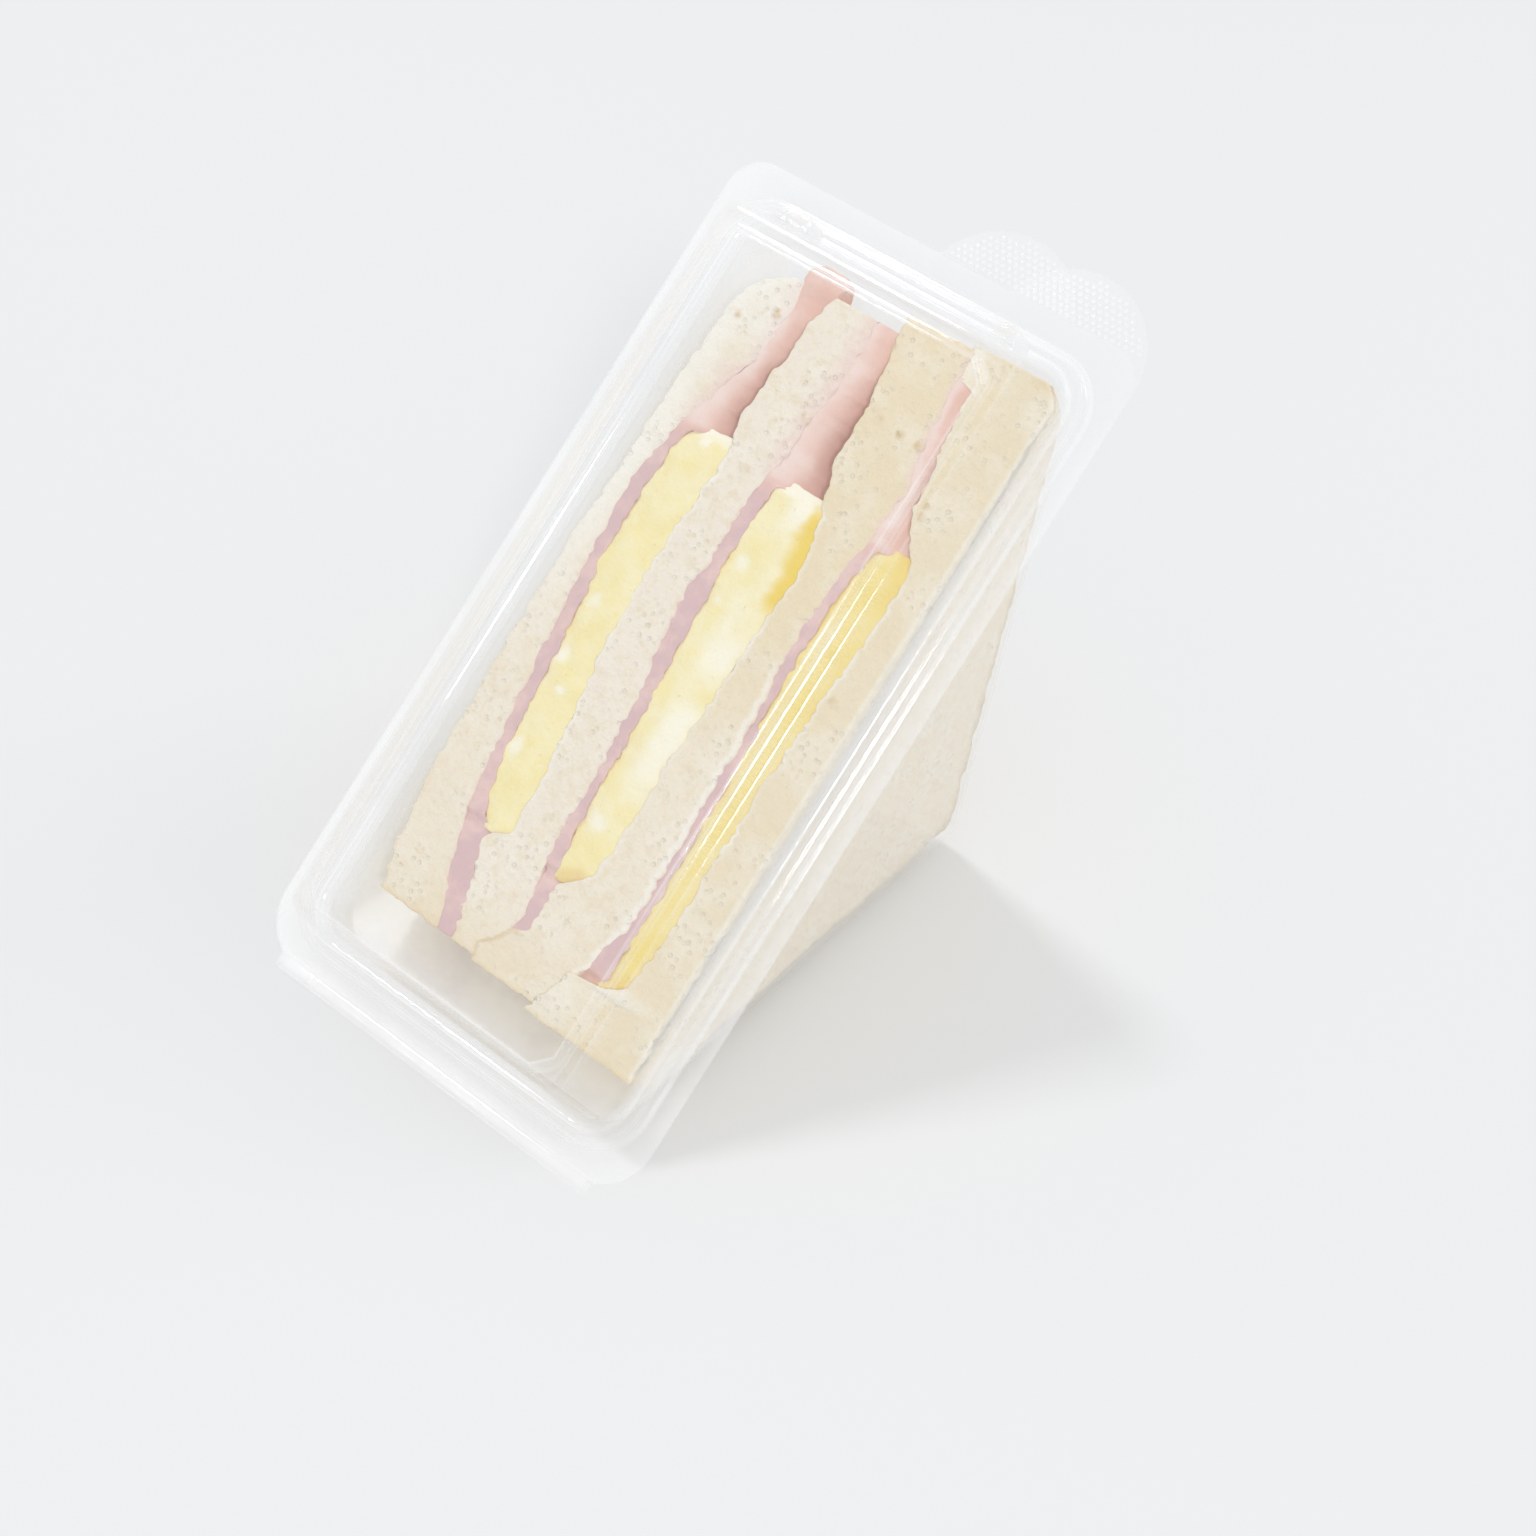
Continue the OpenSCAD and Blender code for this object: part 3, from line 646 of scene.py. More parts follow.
def make_lid():
    rows, bent = lid_stations()
    rings = [ring(s, WALL) for s in under(rows, WALL)[::-1]]
    rings += [flange_line(LID_TOP - WALL, LID_TAB_X), flange_line(LID_TOP, LID_TAB_X)]
    rings += [ring(s) for s in rows]
    bent = along(bent[::-1] + [0.4, 0.4] + bent, len(rings[0]))
    points, faces = skin(rings)
    x, y, z = points.T
    from_lug = np.abs(np.hypot(np.abs(x) - LUG_X, y - LUG_CY) - LUG_R)
    on_wall = (y > LUG_CY + 0.3) * (z > LEDGE_Z) * (z < LEDGE_Z + LUG_H + 0.8)
    lug = ease(1.4 - from_lug / 0.5) * on_wall
    return shell("lid", [(points, faces, np.maximum(bent, 0.6 * lug)), (*hinge_half(1), 0.4),
                         (*grip_dots(LID_TAB_X, LID_TOP, 1), 0.9)], "lid")


def wedge_half(z, d):
    """Half the length of the pocket at a height, on its inner face or d outside it."""
    r = APEX_R + d
    if z > APEX_Z - r / np.sqrt(2):
        return z - APEX_Z + r * np.sqrt(2)
    return np.sqrt(max(0, r * r - (z - APEX_Z) ** 2))


def pocket_side(z, d):
    """How far in from the pack's side the pocket's wall lies at a height."""
    r, h = MOUTH_R + d, wedge_half(z, d)
    close = r - np.sqrt(r * r - (r - h) ** 2) if h < r else 0
    return MOUTH[0] + WALL - d - (z - BASE_TOP + 1) * DRAFT + close


def pocket_ring(z, d):
    low = max(MOUTH[1] + WALL - d, APEX_Y - wedge_half(z, d))
    high = min(PACK_L - MOUTH[2] - WALL + d, APEX_Y + wedge_half(z, d))
    r = min(MOUTH_R + d, (high - low) * 0.49)
    return ring([pocket_side(z, d), low, PACK_L - high, r, z, 0, 0])


def pocket_levels(d):
    """Heights of the pocket's lines, from its mouth down to the apex."""
    r = APEX_R + d
    toe = APEX_Z - r * np.sqrt(2)
    meet = [toe + APEX_Y - MOUTH[1] - WALL + d, toe + PACK_L - MOUTH[2] - WALL + d - APEX_Y]
    walls = [*run(max(meet), min(meet), 2), *np.linspace(min(meet), toe + 3 * MOUTH_R, 9)]
    closing = np.linspace(toe + 3 * MOUTH_R, toe + MOUTH_R + d, 8)[1:]
    apex = [APEX_Z - r * np.cos(np.radians(a)) for a in (45, 40, 35, 30, 25, 20, 15, 10, 5, 2)]
    return [max(meet), *walls, *closing, *apex]


def make_base():
    rim_in = WALL + RIM_SLACK
    top = LEDGE_Z - WALL - RIM_SLACK
    rows, bent = rounded([
        [f + rim_in - 1.0 for f in FLANGE] + [RIM_R + 0.4, BASE_TOP, 0, 0],
        [f + rim_in for f in FLANGE] + [RIM_R - 0.4, BASE_TOP, 0, 0],
        [f + rim_in + EDGE for f in FLANGE] + [RIM_R - 0.9, top - 0.3, 0, 0],
        [f + rim_in + 2 * EDGE for f in FLANGE] + [RIM_R - 1.4, top, 0, 0],
        [m - 1.6 for m in MOUTH] + [MOUTH_R + 1.6, top, 0, 0],
        [m - 0.7 for m in MOUTH] + [MOUTH_R + 0.9, top - 0.5, 0, 0],
        [m + WALL - 0.2 for m in MOUTH] + [MOUTH_R + 0.2, top - 1.5, 0, 0],
        [m + WALL for m in MOUTH] + [MOUTH_R, BASE_TOP - 1, 0, 0]],
        [0.5, 0.3, 0.4, 0.5, 0.5, 0.5])
    rings = [pocket_ring(z, WALL) for z in pocket_levels(WALL)[::-1]]
    wall = [0.2] * len(rings)
    rings += [ring(s) for s in under(rows, WALL)[::-1]]
    rings += [flange_line(BASE_TOP - WALL, BASE_TAB_X), flange_line(BASE_TOP, BASE_TAB_X)]
    rings += [ring(s) for s in rows]
    rings += [pocket_ring(z, 0) for z in pocket_levels(0)]
    bent = along(wall + bent[::-1] + [0.4, 0.4] + bent + wall, len(rings[0]))
    points, faces = skin(rings)
    x, y, z = points.T
    # Painted light: the tray's walls are whitened on the far left and at the hinge end, lightening
    # the shade inside the low end of the pocket.
    left_light = 0.45 * fall(x, -26, 4) * rise(z, -18, 12)
    painted_light = np.maximum(1.2 * fall(y, 36, 16), left_light) * (z < BASE_TOP - 1.2)
    return shell("base_tray", [(points, faces, np.maximum(bent, painted_light)), (*hinge_half(-1), 0.4),
                               (*grip_dots(BASE_TAB_X, BASE_TOP - WALL, -1), 0.9)], "base")


# Sandwich

BREAD_FACE = 0.6
BREAD_LOW = 17.5
BREAD_R = 8.0
CLEAR, REAR_GAP, SIDE_CLEAR = 0.3, 3.8, 0.5
# How far the outer slices stay inside what the pocket leaves them
LEFT_GAP, RIGHT_GAP = 0.25, 0.3
HAM_T = 2.0
# How far a layer reaches into its neighbour
LAP = 0.3
# Shares of the depth: where the egg ends, and from where the layers lie closed
EGG_DEPTH, CLOSED_DEPTH = 0.62, 0.94
# Where the crumb is torn, by the hinge, and where the cut face sinks, by the opening end
TORN_Y, SUNK_Y = 33, 138
# The tables follow the seams across the cut face: x for each y of SEAM_Y
SEAM_Y = [20, 25, 28, 37.5, 39.5, 41.5, 50, 70, 88, 101, 113, 122, 132, 141, 150]
BREAD_HAM = [
    [-13, -14.9, -16, -19.6, -20.1, -20.5, -21.8, -24.3, -26.1, -27.2, -25.2, -21.9, -18.1, -18,
     -18.5],
    [-4.2, -1.2, 0.1, -1.6, -2, -2.3, -2.6, -3.8, -6.5, -6.2, -5.3, -4.1, -2.9, -2.7, -2.8],
    [10.6, 13.6, 14.8, 17.3, 17.6, 17.6, 17.3, 16.8, 15.4, 15.3, 16.9, 18.1, 15.9, 15.2, 14.5]]
EGG_BREAD = [
    [-10.3, -11.5, -12.2, -15.1, -9.6, -10.4, -11, -13.8, -15.4, -14.8, -13.9, -15.6, -14.1, -13.5,
     -10.8],
    [-4, -0.95, 2.5, 1.6, 4.6, 6.9, 7.4, 7.6, 8.3, 9.1, 7.5, 3.6, 3.4, 2.1, 0.9],
    [10.85, 14.1, 22.6, 23.9, 24, 24, 23.9, 24, 24.8, 26, 25.8, 20.2, 19.3, 18.2, 16.6]]
HAM_WIDTH = [
    [2.4, 3, 3.4, 4, 3.4, 3, 2.1, 2.5, 2.2, 2.8, 2, 4.6, 3.4, 4, 6.8],
    [0.1, 0.15, 2.1, 2.9, 2.7, 2.4, 1.8, 2.3, 3.6, 2.5, 2.2, 5.2, 4.4, 3.6, 2.8],
    [0.1, 0.3, 4, 1.8, 1.6, 1.6, 1.6, 1.6, 1.9, 1.9, 1.7, 1.7, 3, 2.7, 1.8]]
HAM_EGG = [list(np.add(a, b)) for a, b in zip(BREAD_HAM, HAM_WIDTH)]
LEFT_FACE = [-26.8, -27.8, -28.4, -29.6, -29.9, -30, -30.6, -31, -31, -30.6, -30.2, -29.6, -29.2,
             -27.8, -25]
CLOSED = [-17.4, -1, 15.4]
BREAD_TOP = [145.5, 145.8, 149.5, 150.5]
BREAD_END = [1.7, 1.5, 0.7, -0.8]
BREAD_WARM = [0.35, 0.12, 0.28, 0.95]
FIRST_CORNER_R = 7.0
HAM_START, HAM_TOP = [3, 9, 8.5], [149.9, 146, 144.6]
HAM_TUCK, HAM_SLOPE = [1.3, 0.6, 0.4], [3.6, 4.4, 1.6]
HAM_END_R = [3.0, 0.9, 0.9]
EGG_START, EGG_TOP = [20.3, 20.3, 9.4], [116.5, 115.5, 114.5]

FLOOR_YC = APEX_Y - (REAR_GAP - CLEAR) * np.sqrt(2) / 2
FLOOR_ZC = APEX_Z + (BREAD_R - APEX_R + CLEAR) * np.sqrt(2) + (REAR_GAP - CLEAR) * np.sqrt(2) / 2


def bread_floor(y):
    """Height of the bread's underside in the pocket."""
    d = np.abs(y - FLOOR_YC)
    curve = FLOOR_ZC - np.sqrt(np.clip(BREAD_R**2 - d**2, 0, None))
    return np.where(d > BREAD_R / np.sqrt(2), FLOOR_ZC - BREAD_R * np.sqrt(2) + d, curve)


def softened(values):
    """A table across the cut face with its corners smoothed."""
    y = np.arange(0, 170, 0.5)
    line = np.interp(y, SEAM_Y, values)
    spread = np.hanning(9)
    line = np.convolve(np.pad(line, 4, "edge"), spread / spread.sum(), "valid")
    return lambda at: np.interp(at, y, line)


def ragged(y, v, seed):
    """How far a seam wanders from its line, shared by the two layers that meet there. The crumb
    is torn at the hinge end."""
    p = np.c_[y, 40 * v, np.zeros(len(y))]
    torn = fall(y, TORN_Y, 8)
    return ((1 + 1.2 * torn) * (0.24 * ripple(p, 4.6, seed) + 0.22 * ripple(p, 1.9, seed + 1))
            + (1 + 0.8 * torn) * 0.36 * ripple(p, 1.0, seed + 2))


def seam(table, closed, seed):
    """The surface between two layers: x for y and the share v of the depth. It follows its table
    near the cut face and lies at closed near the apex."""
    line = softened(table)

    def at(y, v):
        c = rise(v, EGG_DEPTH, CLOSED_DEPTH - EGG_DEPTH)
        return line(y) * (1 - c) + closed * c + ragged(y, v, seed)
    return at


def face_limit(y, z):
    """Half width that the pocket leaves for the bread."""
    out = np.empty(len(y))
    for i, (a, b) in enumerate(zip(y, np.minimum(z, BASE_TOP - 1))):
        h = wedge_half(b, 0)
        d = min(a - max(MOUTH[1] + WALL, APEX_Y - h), min(PACK_L - MOUTH[2] - WALL, APEX_Y + h) - a)
        e = min(MOUTH_R, max(0, MOUTH_R - d))
        out[i] = (HALF_W - pocket_side(b, 0) - SIDE_CLEAR
                  - (MOUTH_R - np.sqrt(MOUTH_R**2 - e * e)))
    return out


BREAD_HAM_SEAM = [seam(BREAD_HAM[k], CLOSED[k], 10 + 9 * k) for k in range(3)]
HAM_EGG_SEAM = [seam(HAM_EGG[k], CLOSED[k] + HAM_T, 13 + 9 * k) for k in range(3)]
EGG_BREAD_SEAM = [seam(EGG_BREAD[k], CLOSED[k] + HAM_T, 16 + 9 * k) for k in range(3)]


def slab_line(y, left, right, dip, fill, rows, share, corner):
    """The closed line round a slab at one y: over its cut face, down its right side, along its
    floor and up its left side. With it, how far each point belongs to the cut face."""
    depth = BREAD_FACE - bread_floor(y)
    bottom = BREAD_FACE - depth * fill(depth)
    low = dip(y, share)

    def x_at(side, z):
        z = np.atleast_1d(z)
        return side(np.full(len(z), y), (BREAD_FACE - z) / depth)

    starts = BREAD_FACE - low[[0, -1]] - corner
    zl, zr = (a - (a - bottom) * rows for a in starts)
    xl, xr = x_at(left, zl), x_at(right, zr)
    l0, r0 = x_at(left, starts[0])[0], x_at(right, starts[1])[0]
    c = min(corner, (r0 - l0) * 0.35)
    turn = np.radians(np.linspace(0, 90, 4))
    inset, lift = c * (1 - np.cos(turn)), corner * np.sin(turn)
    flat = l0 + c + (r0 - l0 - 2 * c) * share
    floor = np.linspace(xr[-1], xl[-1], 6)[1:-1]
    x = np.r_[l0 + inset, flat[1:-1], (r0 - inset)[::-1], xr, floor, xl[::-1]]
    z = np.r_[starts[0] + lift, BREAD_FACE - low[1:-1], (starts[1] + lift)[::-1],
              zr, np.full(len(floor), bottom), zl[::-1]]
    n = 2 * len(turn) + len(share) - 2
    on_face = np.r_[np.ones(n), 0.9, np.zeros(len(x) - n - 2), 0.9]
    return np.c_[x, np.full(len(x), y), z], on_face


def end_lines(last, sign, corner):
    """The lines that close a slab beyond its last one: round the edge, then in to the middle."""
    mid = (last.max(0) + last.min(0)) / 2
    half = np.maximum((last.max(0) - last.min(0)) / 2, 0.1)
    lines = []
    for a in np.radians([30, 60, 90]):
        inset = corner * (1 - np.cos(a))
        line = mid + (last - mid) * (1 - np.minimum(inset / half, 0.6))
        line[:, 1] = last[0, 1] + sign * corner * np.sin(a)
        lines.append(line)
    edge = lines[-1]
    steps = max(4, int(half[[0, 2]].max() / 0.9))
    for k in range(1, steps):
        line = mid + (edge - mid) * (1 - k / steps)
        line[:, 1] = edge[0, 1]
        lines.append(line)
    return lines


def layer(y0, y1, left, right, dip, fill, pitch, across, down, corner):
    """A slab of one layer as a closed mesh of fine rings. left and right give x for y and the
    share v of the depth, dip how low the cut face lies for y and the share across, and fill the
    share of the depth that the slab reaches."""
    rows = np.linspace(0, 1, down + 1)[1:] ** 1.25
    share = np.linspace(0, 1, across)
    ys = np.linspace(y0 + corner, y1 - corner, max(8, int((y1 - y0) / pitch)))
    pairs = [slab_line(y, left, right, dip, fill, rows, share, corner) for y in ys]
    lines, cut = map(list, zip(*pairs))
    start, end = end_lines(lines[0], -1, corner)[::-1], end_lines(lines[-1], 1, corner)
    points, faces = skin(start + lines + end)
    on_face = np.ones(len(lines[0]))
    cut = [on_face] * len(start) + cut + [on_face] * len(end)
    return points, faces, np.r_[np.concatenate(cut), 1, 1]


def facing_out(points, faces):
    """Unit normals of a mesh's points."""
    normals = np.zeros_like(points)
    quads = np.array([f + [f[-1]] * (4 - len(f)) for f in faces])
    a, b, c, d = (points[quads[:, i]] for i in range(4))
    n = np.cross(c - a, d - b)
    for i in range(4):
        np.add.at(normals, quads[:, i], n)
    length = np.linalg.norm(normals, axis=1)
    return normals / np.maximum(length, 1e-9)[:, None]


def near(points, line, width, wander=0.0):
    """1 on a line across the cut face and 0 further than width away, only close to that face.
    The edge wanders by as many millimetres."""
    p = points[:, :2]
    line = np.array(line, float)
    best = np.full(len(p), 99.0)
    for a, b in zip(line, line[1:] if len(line) > 1 else line):
        t = np.clip((p - a) @ (b - a) / max(1e-9, (b - a) @ (b - a)), 0, 1)
        best = np.minimum(best, np.linalg.norm(p - a - t[:, None] * (b - a), axis=1))
    best = best + wander * ripple(points, 0.8 * width, 7)
    return ease(1.5 - 1.5 * best / width) * (points[:, 2] > BREAD_FACE - 5)


TEAR = [(-4.3, 19), (-5.1, 21.4), (-2.7, 23.5), (-1.1, 25.5), (-0.7, 26.9), (0.8, 26.6)]
PORES = [[(-26.7, 135.6), (-22.8, 138), (-20, 138.7)],
         [(-9.9, 113.2), (-4.9, 125.8), (-17.2, 74.7)],
         [(15.2, 131), (11.6, 131.2), (6.9, 131.7)],
         [(22.2, 123.4), (23, 121), (24.6, 100), (27, 88)]]


def bread_sides(k):
    """The left and right side of a slice: x for y and the share v of the depth."""
    def limit(y, v):
        return face_limit(y, BREAD_FACE + (bread_floor(y) - BREAD_FACE) * v)

    def left(y, v):
        if k == 0:
            corner = round_off(y, BREAD_TOP[0], FIRST_CORNER_R)
            free = softened(LEFT_FACE)(y) + corner + 0.8 * ragged(y, v, 40)
            return np.maximum(free, -limit(y, v) + LEFT_GAP)
        lap = 0.9 * fall(y, 29, 3) if k == 3 else 0.35 * fall(y, 27, 2)
        shut = fall(y, 27.2, 1.2) * (k > 1) + rise(y, 143.2, 1) * (k == 3)
        met = BREAD_HAM_SEAM[k - 1](y, v) - LAP
        return EGG_BREAD_SEAM[k - 1](y, v) * (1 - shut) + met * shut - lap

    def right(y, v):
        if k < 3:
            return BREAD_HAM_SEAM[k](y, v)
        return limit(y, v) - RIGHT_GAP + 0.5 * ragged(y, v, 43)
    return left, right


def crumb_hollows(k, points):
    """How deep the crumb's face is hollowed, with 1 on its large pores and 1 along its tear."""
    big, number = pits(points, 2.3, 60 + k)
    hollow = 0.16 * ease(1 - big / (0.35 + 0.5 * number)) * (number > 0.62)
    small, number = pits(points, 1.1, 70 + k)
    hollow = hollow + 0.10 * ease(1 - small / 0.5) * (number > 0.5)
    mark = np.zeros(len(points))
    for spot in PORES[k]:
        mark = np.maximum(mark, near(points, [spot], 1.3, 0.5))
    tear = near(points, TEAR, 0.42, 0.25) if k in (1, 2) else np.zeros(len(points))
    return hollow + 0.2 * mark + 0.15 * tear, mark, tear


def bread_looks(k, points, y, v, cut, left, right):
    """Values for the crumb's material: a painted pink glow of light from the ham beside it, moist
    crumb beside egg, a painted haze of the film over the first slice's left margin and top, painted
    shade on the last slice's right side under the flange, browner at its ends. y and v are the
    points' places before the crumb's relief."""
    x = points[:, 0]
    far = np.full(len(points), 9.0)
    to_ham = right(y, v) - x if k < 3 else far
    to_egg = x - left(y, v) if k else far
    open_ham = rise(y, 112, 6)
    # Painted pink glow of light from the ham, reaching further where the ham lies open above the
    # egg.
    reach = (0.9 + (3.2 if k < 2 else 0.7) * open_ham) * (1 + 0.4 * ripple(points, 3, 31 + k))
    ham_glow = (0.35 + 0.6 * open_ham) * ease(1 - np.abs(to_ham) / reach)
    beside = rise(y, 39, 2) * fall(y, EGG_TOP[max(0, k - 1)], 3)
    patches = 0.5 + 0.5 * ripple(points, 6, 33 + k)
    moist_and_haze = cut * ease(1.3 - np.abs(to_egg) / 0.9) * beside * patches
    crust = painted_shade = np.zeros(len(points))
    # Painted haze: the first slice's left margin and top are paled as the hazy film in front veils
    # them.
    if k == 0:
        margin = ease(1.15 - (x - left(y, v)) / 6.5) * rise(y, 55, 45)
        moist_and_haze = np.maximum(moist_and_haze, cut * np.maximum(0.9 * margin, 0.55 * rise(y, 126, 12)))
    if k == 2:
        beside_ham = ease(1.2 - np.abs(to_ham - 0.6) / 0.8)
        moist_and_haze = np.maximum(moist_and_haze, cut * beside_ham * fall(y, 92, 8) * 0.7)
        crust = 0.8 * rise(y, 147, 2)
    if k == 3:
        moist_and_haze = np.maximum(moist_and_haze, cut * 0.6 * rise(y, 142, 2) * ease(1.2 - to_egg / 3.5))
        rim = face_limit(y, np.full(len(y), BREAD_FACE)) - x
        moist_and_haze = np.maximum(moist_and_haze, cut * 0.6 * ease(1.5 - rim / 0.8))
        moist_and_haze = np.maximum(moist_and_haze, cut * 0.5 * fall(y, 30, 2) * ease(1.6 - to_egg / 7))
        # Painted shade: the last slice's right side is greyed just under the flange, where the film
        # shades it.
        painted_shade = 0.85 * (1 - cut) * ease(1.4 - v / 0.15) * rise(x, 24, 3)
        crust = 0.5 * rise(y, 148, 2) * rise(x, 24, 6)
    crust = np.maximum(crust, 0.42 * fall(y, BREAD_LOW + BREAD_END[k] + 1.3, 1.2))
    crust = np.maximum(crust, 0.35 * rise(v, 0.97, 0.03))
    warm = np.full(len(points), BREAD_WARM[k]) + 0.35 * fall(y, 30, 8)
    warm += 0.7 * rise(y, 55, 40) * (k == 2) - 0.6 * (1 - cut) * (k == 3)
    return {"ham_glow": np.clip(ham_glow, 0, 1), "moist_and_haze": np.clip(moist_and_haze, 0, 1), "crust": crust,
            "warm": np.clip(warm, 0, 1), "painted_shade": painted_shade}


def bread_slice(k):
    left, right = bread_sides(k)

    def dip(y, share):
        flap = 0
        if k == 3:
            flap = 0.8 * fall(y, 30.5, 2) * ease(1 - share / 0.75) * rise(y, 17, 3)
        return 0.45 * rise(y, SUNK_Y, 10) + 0.5 * fall(y, 28, 9) - flap + 0 * share

    points, faces, cut = layer(BREAD_LOW + BREAD_END[k], BREAD_TOP[k], left, right, dip,
                               lambda depth: 1.0,
                               pitch=0.36, across=30, down=20, corner=0.28)
    y = points[:, 1]
    v = np.clip((BREAD_FACE - points[:, 2]) / np.maximum(1, BREAD_FACE - bread_floor(y)), 0, 1)
    hollow, mark, tear = crumb_hollows(k, points)
    rough = (0.13 * ripple(points, 0.95, 50 + k) + 0.15 * ripple(points, 2.4, 51 + k)
             + 0.20 * ripple(points, 7, 52 + k) - hollow)
    points = points + facing_out(points, faces) * (rough * (0.35 + 0.65 * cut))[:, None]
    looks = bread_looks(k, points, y, v, cut, left, right)
    looks["mark"] = np.clip(0.7 * mark * (0.6 + ripple(points, 0.8, 44)) + 0.6 * tear, 0, 1)
    return place("bread_slice_%d" % (k + 1), points, faces, BREAD, "base", looks)


def ham_slice(k):
    open_from = EGG_TOP[k] - 2.0
    low = BREAD_LOW + EGG_START[k]
    top = HAM_TOP[k]

    def pinch(y):
        return round_off(y, top, HAM_END_R[k], 0.99)

    def left(y, v):
        return BREAD_HAM_SEAM[k](y, v) - LAP + pinch(y)

    def right(y, v):
        shut = HAM_EGG_SEAM[k](y, v)
        wide = EGG_BREAD_SEAM[k](y, v) + LAP
        c = np.maximum(rise(y, open_from, 1.5), fall(y, low + 1.6, 1.2))
        return shut * (1 - c) + wide * c - pinch(y)

    def dip(y, share):
        slope = HAM_SLOPE[k] * rise(y, open_from, 2) * (1 - 0.75 * rise(y, 124, 20))
        lobe = 0.9 * rise(y, 143, 4) * (k == 0)
        sunk = 0.6 * fall(y, low + 1.8, 1) * rise(y - low, -1.5, 1.5)
        return 0.15 + slope * share**1.6 - lobe + sunk

    points, faces, cut = layer(BREAD_LOW + HAM_START[k] - HAM_TUCK[k], top, left, right, dip,
                               lambda depth: 1 - min(0.08, 2.2 / depth),
                               pitch=0.4, across=16, down=16, corner=0.2)
    rough = 0.06 * ripple(points, 1.4, 80 + k) + 0.12 * ripple(points, 4, 81 + k)
    points = points + facing_out(points, faces) * (rough * (0.4 + 0.6 * cut))[:, None]
    x, y, z = points.T
    mauve = fall(y, open_from + 3, 8) * (1 - 0.8 * fall(y, 31, 5) * (k == 2))
    here = np.zeros(len(y))
    share = (x - left(y, here)) / np.maximum(0.5, right(y, here) - left(y, here))
    # Painted light: pale lightens the ham's face near its left edge where it lies open above the
    # egg. The first ham is also paler at its top end, and less pale above SUNK_Y.
    pale = rise(y, open_from, 2) * ease(1.2 - 2.0 * share + 0.35 * ripple(points, 3.5, 83 + k))
    if k == 0:
        pale *= 1 - 0.7 * rise(y, SUNK_Y, 4)
        pale = np.maximum(pale, 0.6 * rise(y - top, -1.1, 0.8))
    # Painted shade: how far the ham's face lies below the cut face, less at the top end; the
    # material darkens the ham by it.
    deep = np.maximum(0, BREAD_FACE - z) * (1 - 0.6 * rise(y, SUNK_Y, 6))
    return place("ham_slice_%d" % (k + 1), points, faces, HAM, "base", {
        "deep": deep, "mauve": mauve, "pale": np.clip(pale, 0, 1)})


# Spots of egg white on the cut face; the first spot of the first egg is a painted highlight.
WHITES = [[(-18.9, 113.8), (-22.8, 115.2), (-18.7, 52.6), (-17, 64.7), (-20.5, 80.9),
           (-20.6, 69.7)],
          [(3.6, 65.8), (3.7, 60.9), (1.9, 49.9), (-0.1, 113.8), (3.3, 115), (-1.3, 99.7),
           (-1.2, 91.7)],
          [(22.6, 112.9), (20.5, 97)]]
WHITE_STRENGTH = (0.85, 0.6, 0.75)


def egg_layer(k):
    def left(y, v):
        return HAM_EGG_SEAM[k](y, v) - LAP

    def right(y, v):
        return EGG_BREAD_SEAM[k](y, v) + LAP

    def dip(y, share):
        return 0.45 - 0.4 * np.sin(np.pi * share) + 0.8 * rise(y - EGG_TOP[k], -3, 3)

    points, faces, cut = layer(BREAD_LOW + EGG_START[k], EGG_TOP[k], left, right, dip,
                               lambda depth: EGG_DEPTH,
                               pitch=0.55, across=18, down=12, corner=0.4)
    rough = (0.12 * ripple(points, 1.2, 90 + k) + 0.20 * ripple(points, 3, 91 + k)
             + 0.20 * ripple(points, 8, 92 + k))
    points = points + facing_out(points, faces) * (rough * (0.3 + 0.7 * cut))[:, None]
    x, y = points[:, 0], points[:, 1]
    edge = right(y, np.zeros(len(points))) - x
    pale = 0.85 * ease((y - EGG_TOP[k] + 3.4 + 1.2 * ripple(points, 2.6, 96)) / 1.6)
    for i, spot in enumerate(WHITES[k]):
        white = near(points, [spot], 1.3 + 0.5 * (i % 3), 0.8)
        pale = np.maximum(pale, WHITE_STRENGTH[i % 3] * white)
    yolk = rust = np.zeros(len(points))
    if k == 1:
        patchy = ease(0.75 + 0.6 * ripple(points, 7, 97))
        inner = ease(1.3 - np.abs(edge - 3.4) / 4.2)
        pale = np.maximum(pale, 0.85 * patchy * inner * rise(y, 52, 12))
        band = 2.8 + 1.2 * ripple(points, 4, 98)
        yolk = ease(1.5 - edge / band) * rise(y, 93, 4) * fall(y, 115.5, 4)
        rust = 0.45 * near(points, [(2.4, 38.6), (4.4, 40)], 2.4)
    if k == 2:
        top_edge = rise(y, 100, 8) * ease(1.5 - edge / 3)
        yolk = 0.54 + 0.14 * ripple(points, 6, 99) + 0.25 * top_edge
        rust = 0.35 * fall(y, TORN_Y, 5)
    return place("egg_layer_%d" % (k + 1), points, faces, EGG, "base", {
        "pale": np.clip(pale * (1 - yolk), 0, 1), "yolk": yolk, "rust": rust})


# Studio

CAMERA_AT = (0.188047, -0.270954, 0.351422)
CAMERA_TURN = (45.7694, -6.8423, 38.6239)
CAMERA_LENS, CAMERA_SENSOR = 61.305, 36
CLEAR_BOUNCES = 48
FLOOR_HALF = 4
SKY_LIGHT = 0.74


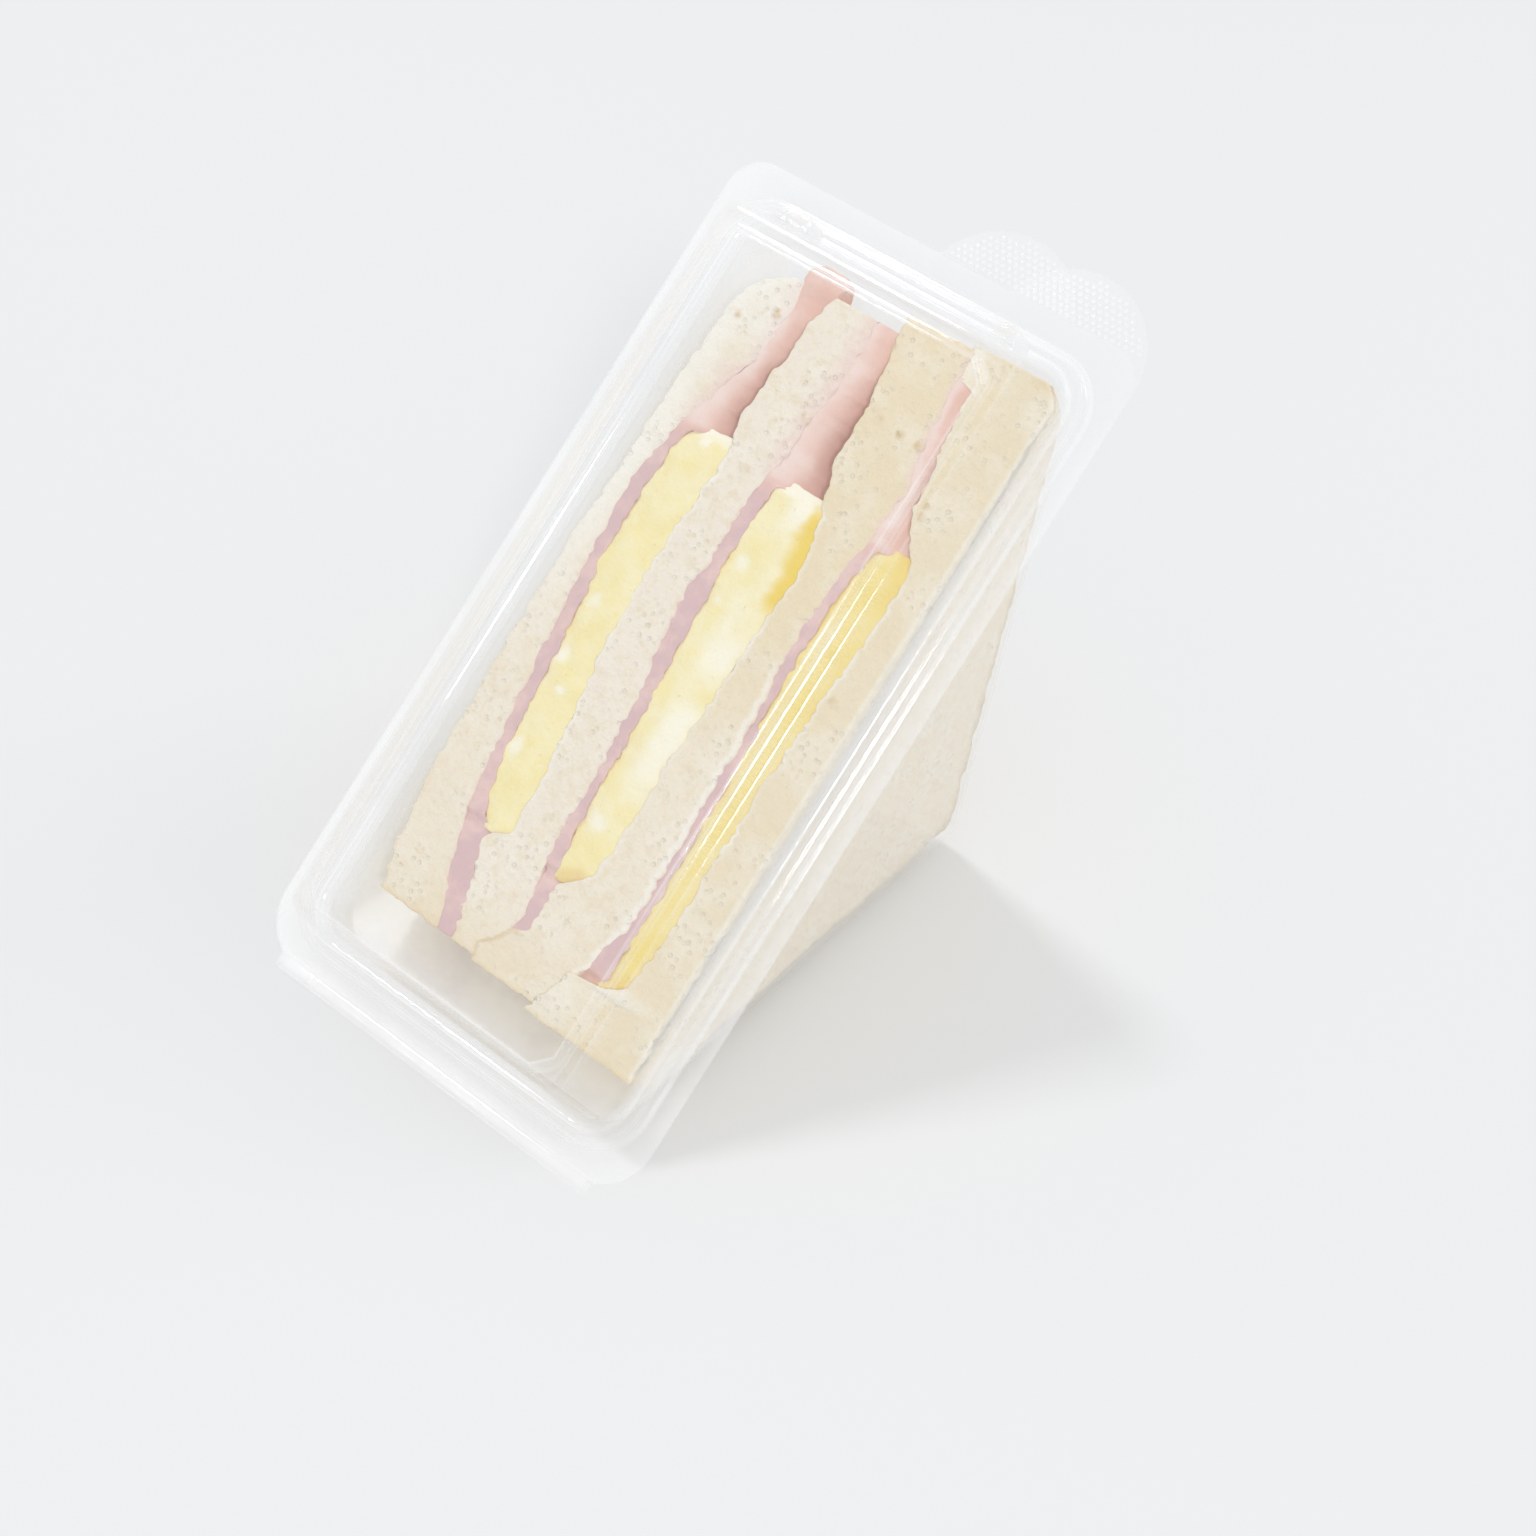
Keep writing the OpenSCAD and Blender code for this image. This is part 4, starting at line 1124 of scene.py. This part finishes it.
def area_lamp(name, at, to, size, watts):
    light = bpy.data.lights.new(name, "AREA")
    light.shape = "SQUARE"
    light.size = size
    light.energy = watts
    lamp = bpy.data.objects.new(name, light)
    lamp.location = at
    lamp.rotation_euler = (Vector(at) - Vector(to)).to_track_quat("Z", "Y").to_euler()
    bpy.context.scene.collection.objects.link(lamp)


def aim_camera():
    camera = bpy.data.cameras.new("camera")
    camera.lens, camera.sensor_width = CAMERA_LENS, CAMERA_SENSOR
    eye = bpy.data.objects.new("camera", camera)
    eye.location = CAMERA_AT
    eye.rotation_euler = Euler(np.radians(CAMERA_TURN))
    bpy.context.scene.collection.objects.link(eye)
    bpy.context.scene.camera = eye


def lay_floor():
    ground = bpy.data.meshes.new("studio_floor")
    corners = [(-1, -1), (1, -1), (1, 1), (-1, 1)]
    corners = [(FLOOR_HALF * x, FLOOR_HALF * y, 0) for x, y in corners]
    ground.from_pydata(corners, [], [(0, 1, 2, 3)])
    ground.materials.append(studio_floor())
    floor = bpy.data.objects.new("studio_floor", ground)
    bpy.context.scene.collection.objects.link(floor)


def light_studio():
    """A pale surround, full white where it is seen or mirrored, and three soft lamps."""
    world = bpy.context.scene.world = bpy.data.worlds.new("studio")
    sky = Finish("sky", world)
    to_camera = sky.node("ShaderNodeLightPath", out="Is Camera Ray")
    to_mirror = sky.node("ShaderNodeLightPath", out="Is Glossy Ray")
    strength = SKY_LIGHT + (1 - SKY_LIGHT) * (to_camera + to_mirror)
    light = sky.node(
        "ShaderNodeBackground", None, {"Color": (0.98, 0.99, 1.0, 1), "Strength": strength}
    )
    sky.finished(light, "ShaderNodeOutputWorld")
    area_lamp("overhead_softbox", (-0.60, 0.21, 1.25), (0, 0, 0.05), 0.18, 3.4)
    area_lamp("side_softbox", (0.80, -0.80, 0.88), (0, 0, 0.06), 0.18, 3.6)
    area_lamp("back_softbox", (0.55, 1.0, 0.75), (0, 0, 0.08), 0.5, 1.8)


def studio():
    scene = bpy.context.scene
    scene.view_settings.view_transform = "Standard"
    scene.cycles.transparent_max_bounces = CLEAR_BOUNCES
    aim_camera()
    lay_floor()
    light_studio()


FILM, BREAD, EGG, HAM = clear_film(), bread_crumb(), boiled_egg(), sliced_ham()
make_base()
make_lid()
for k in range(4):
    bread_slice(k)
for k in range(3):
    ham_slice(k)
    egg_layer(k)
studio()
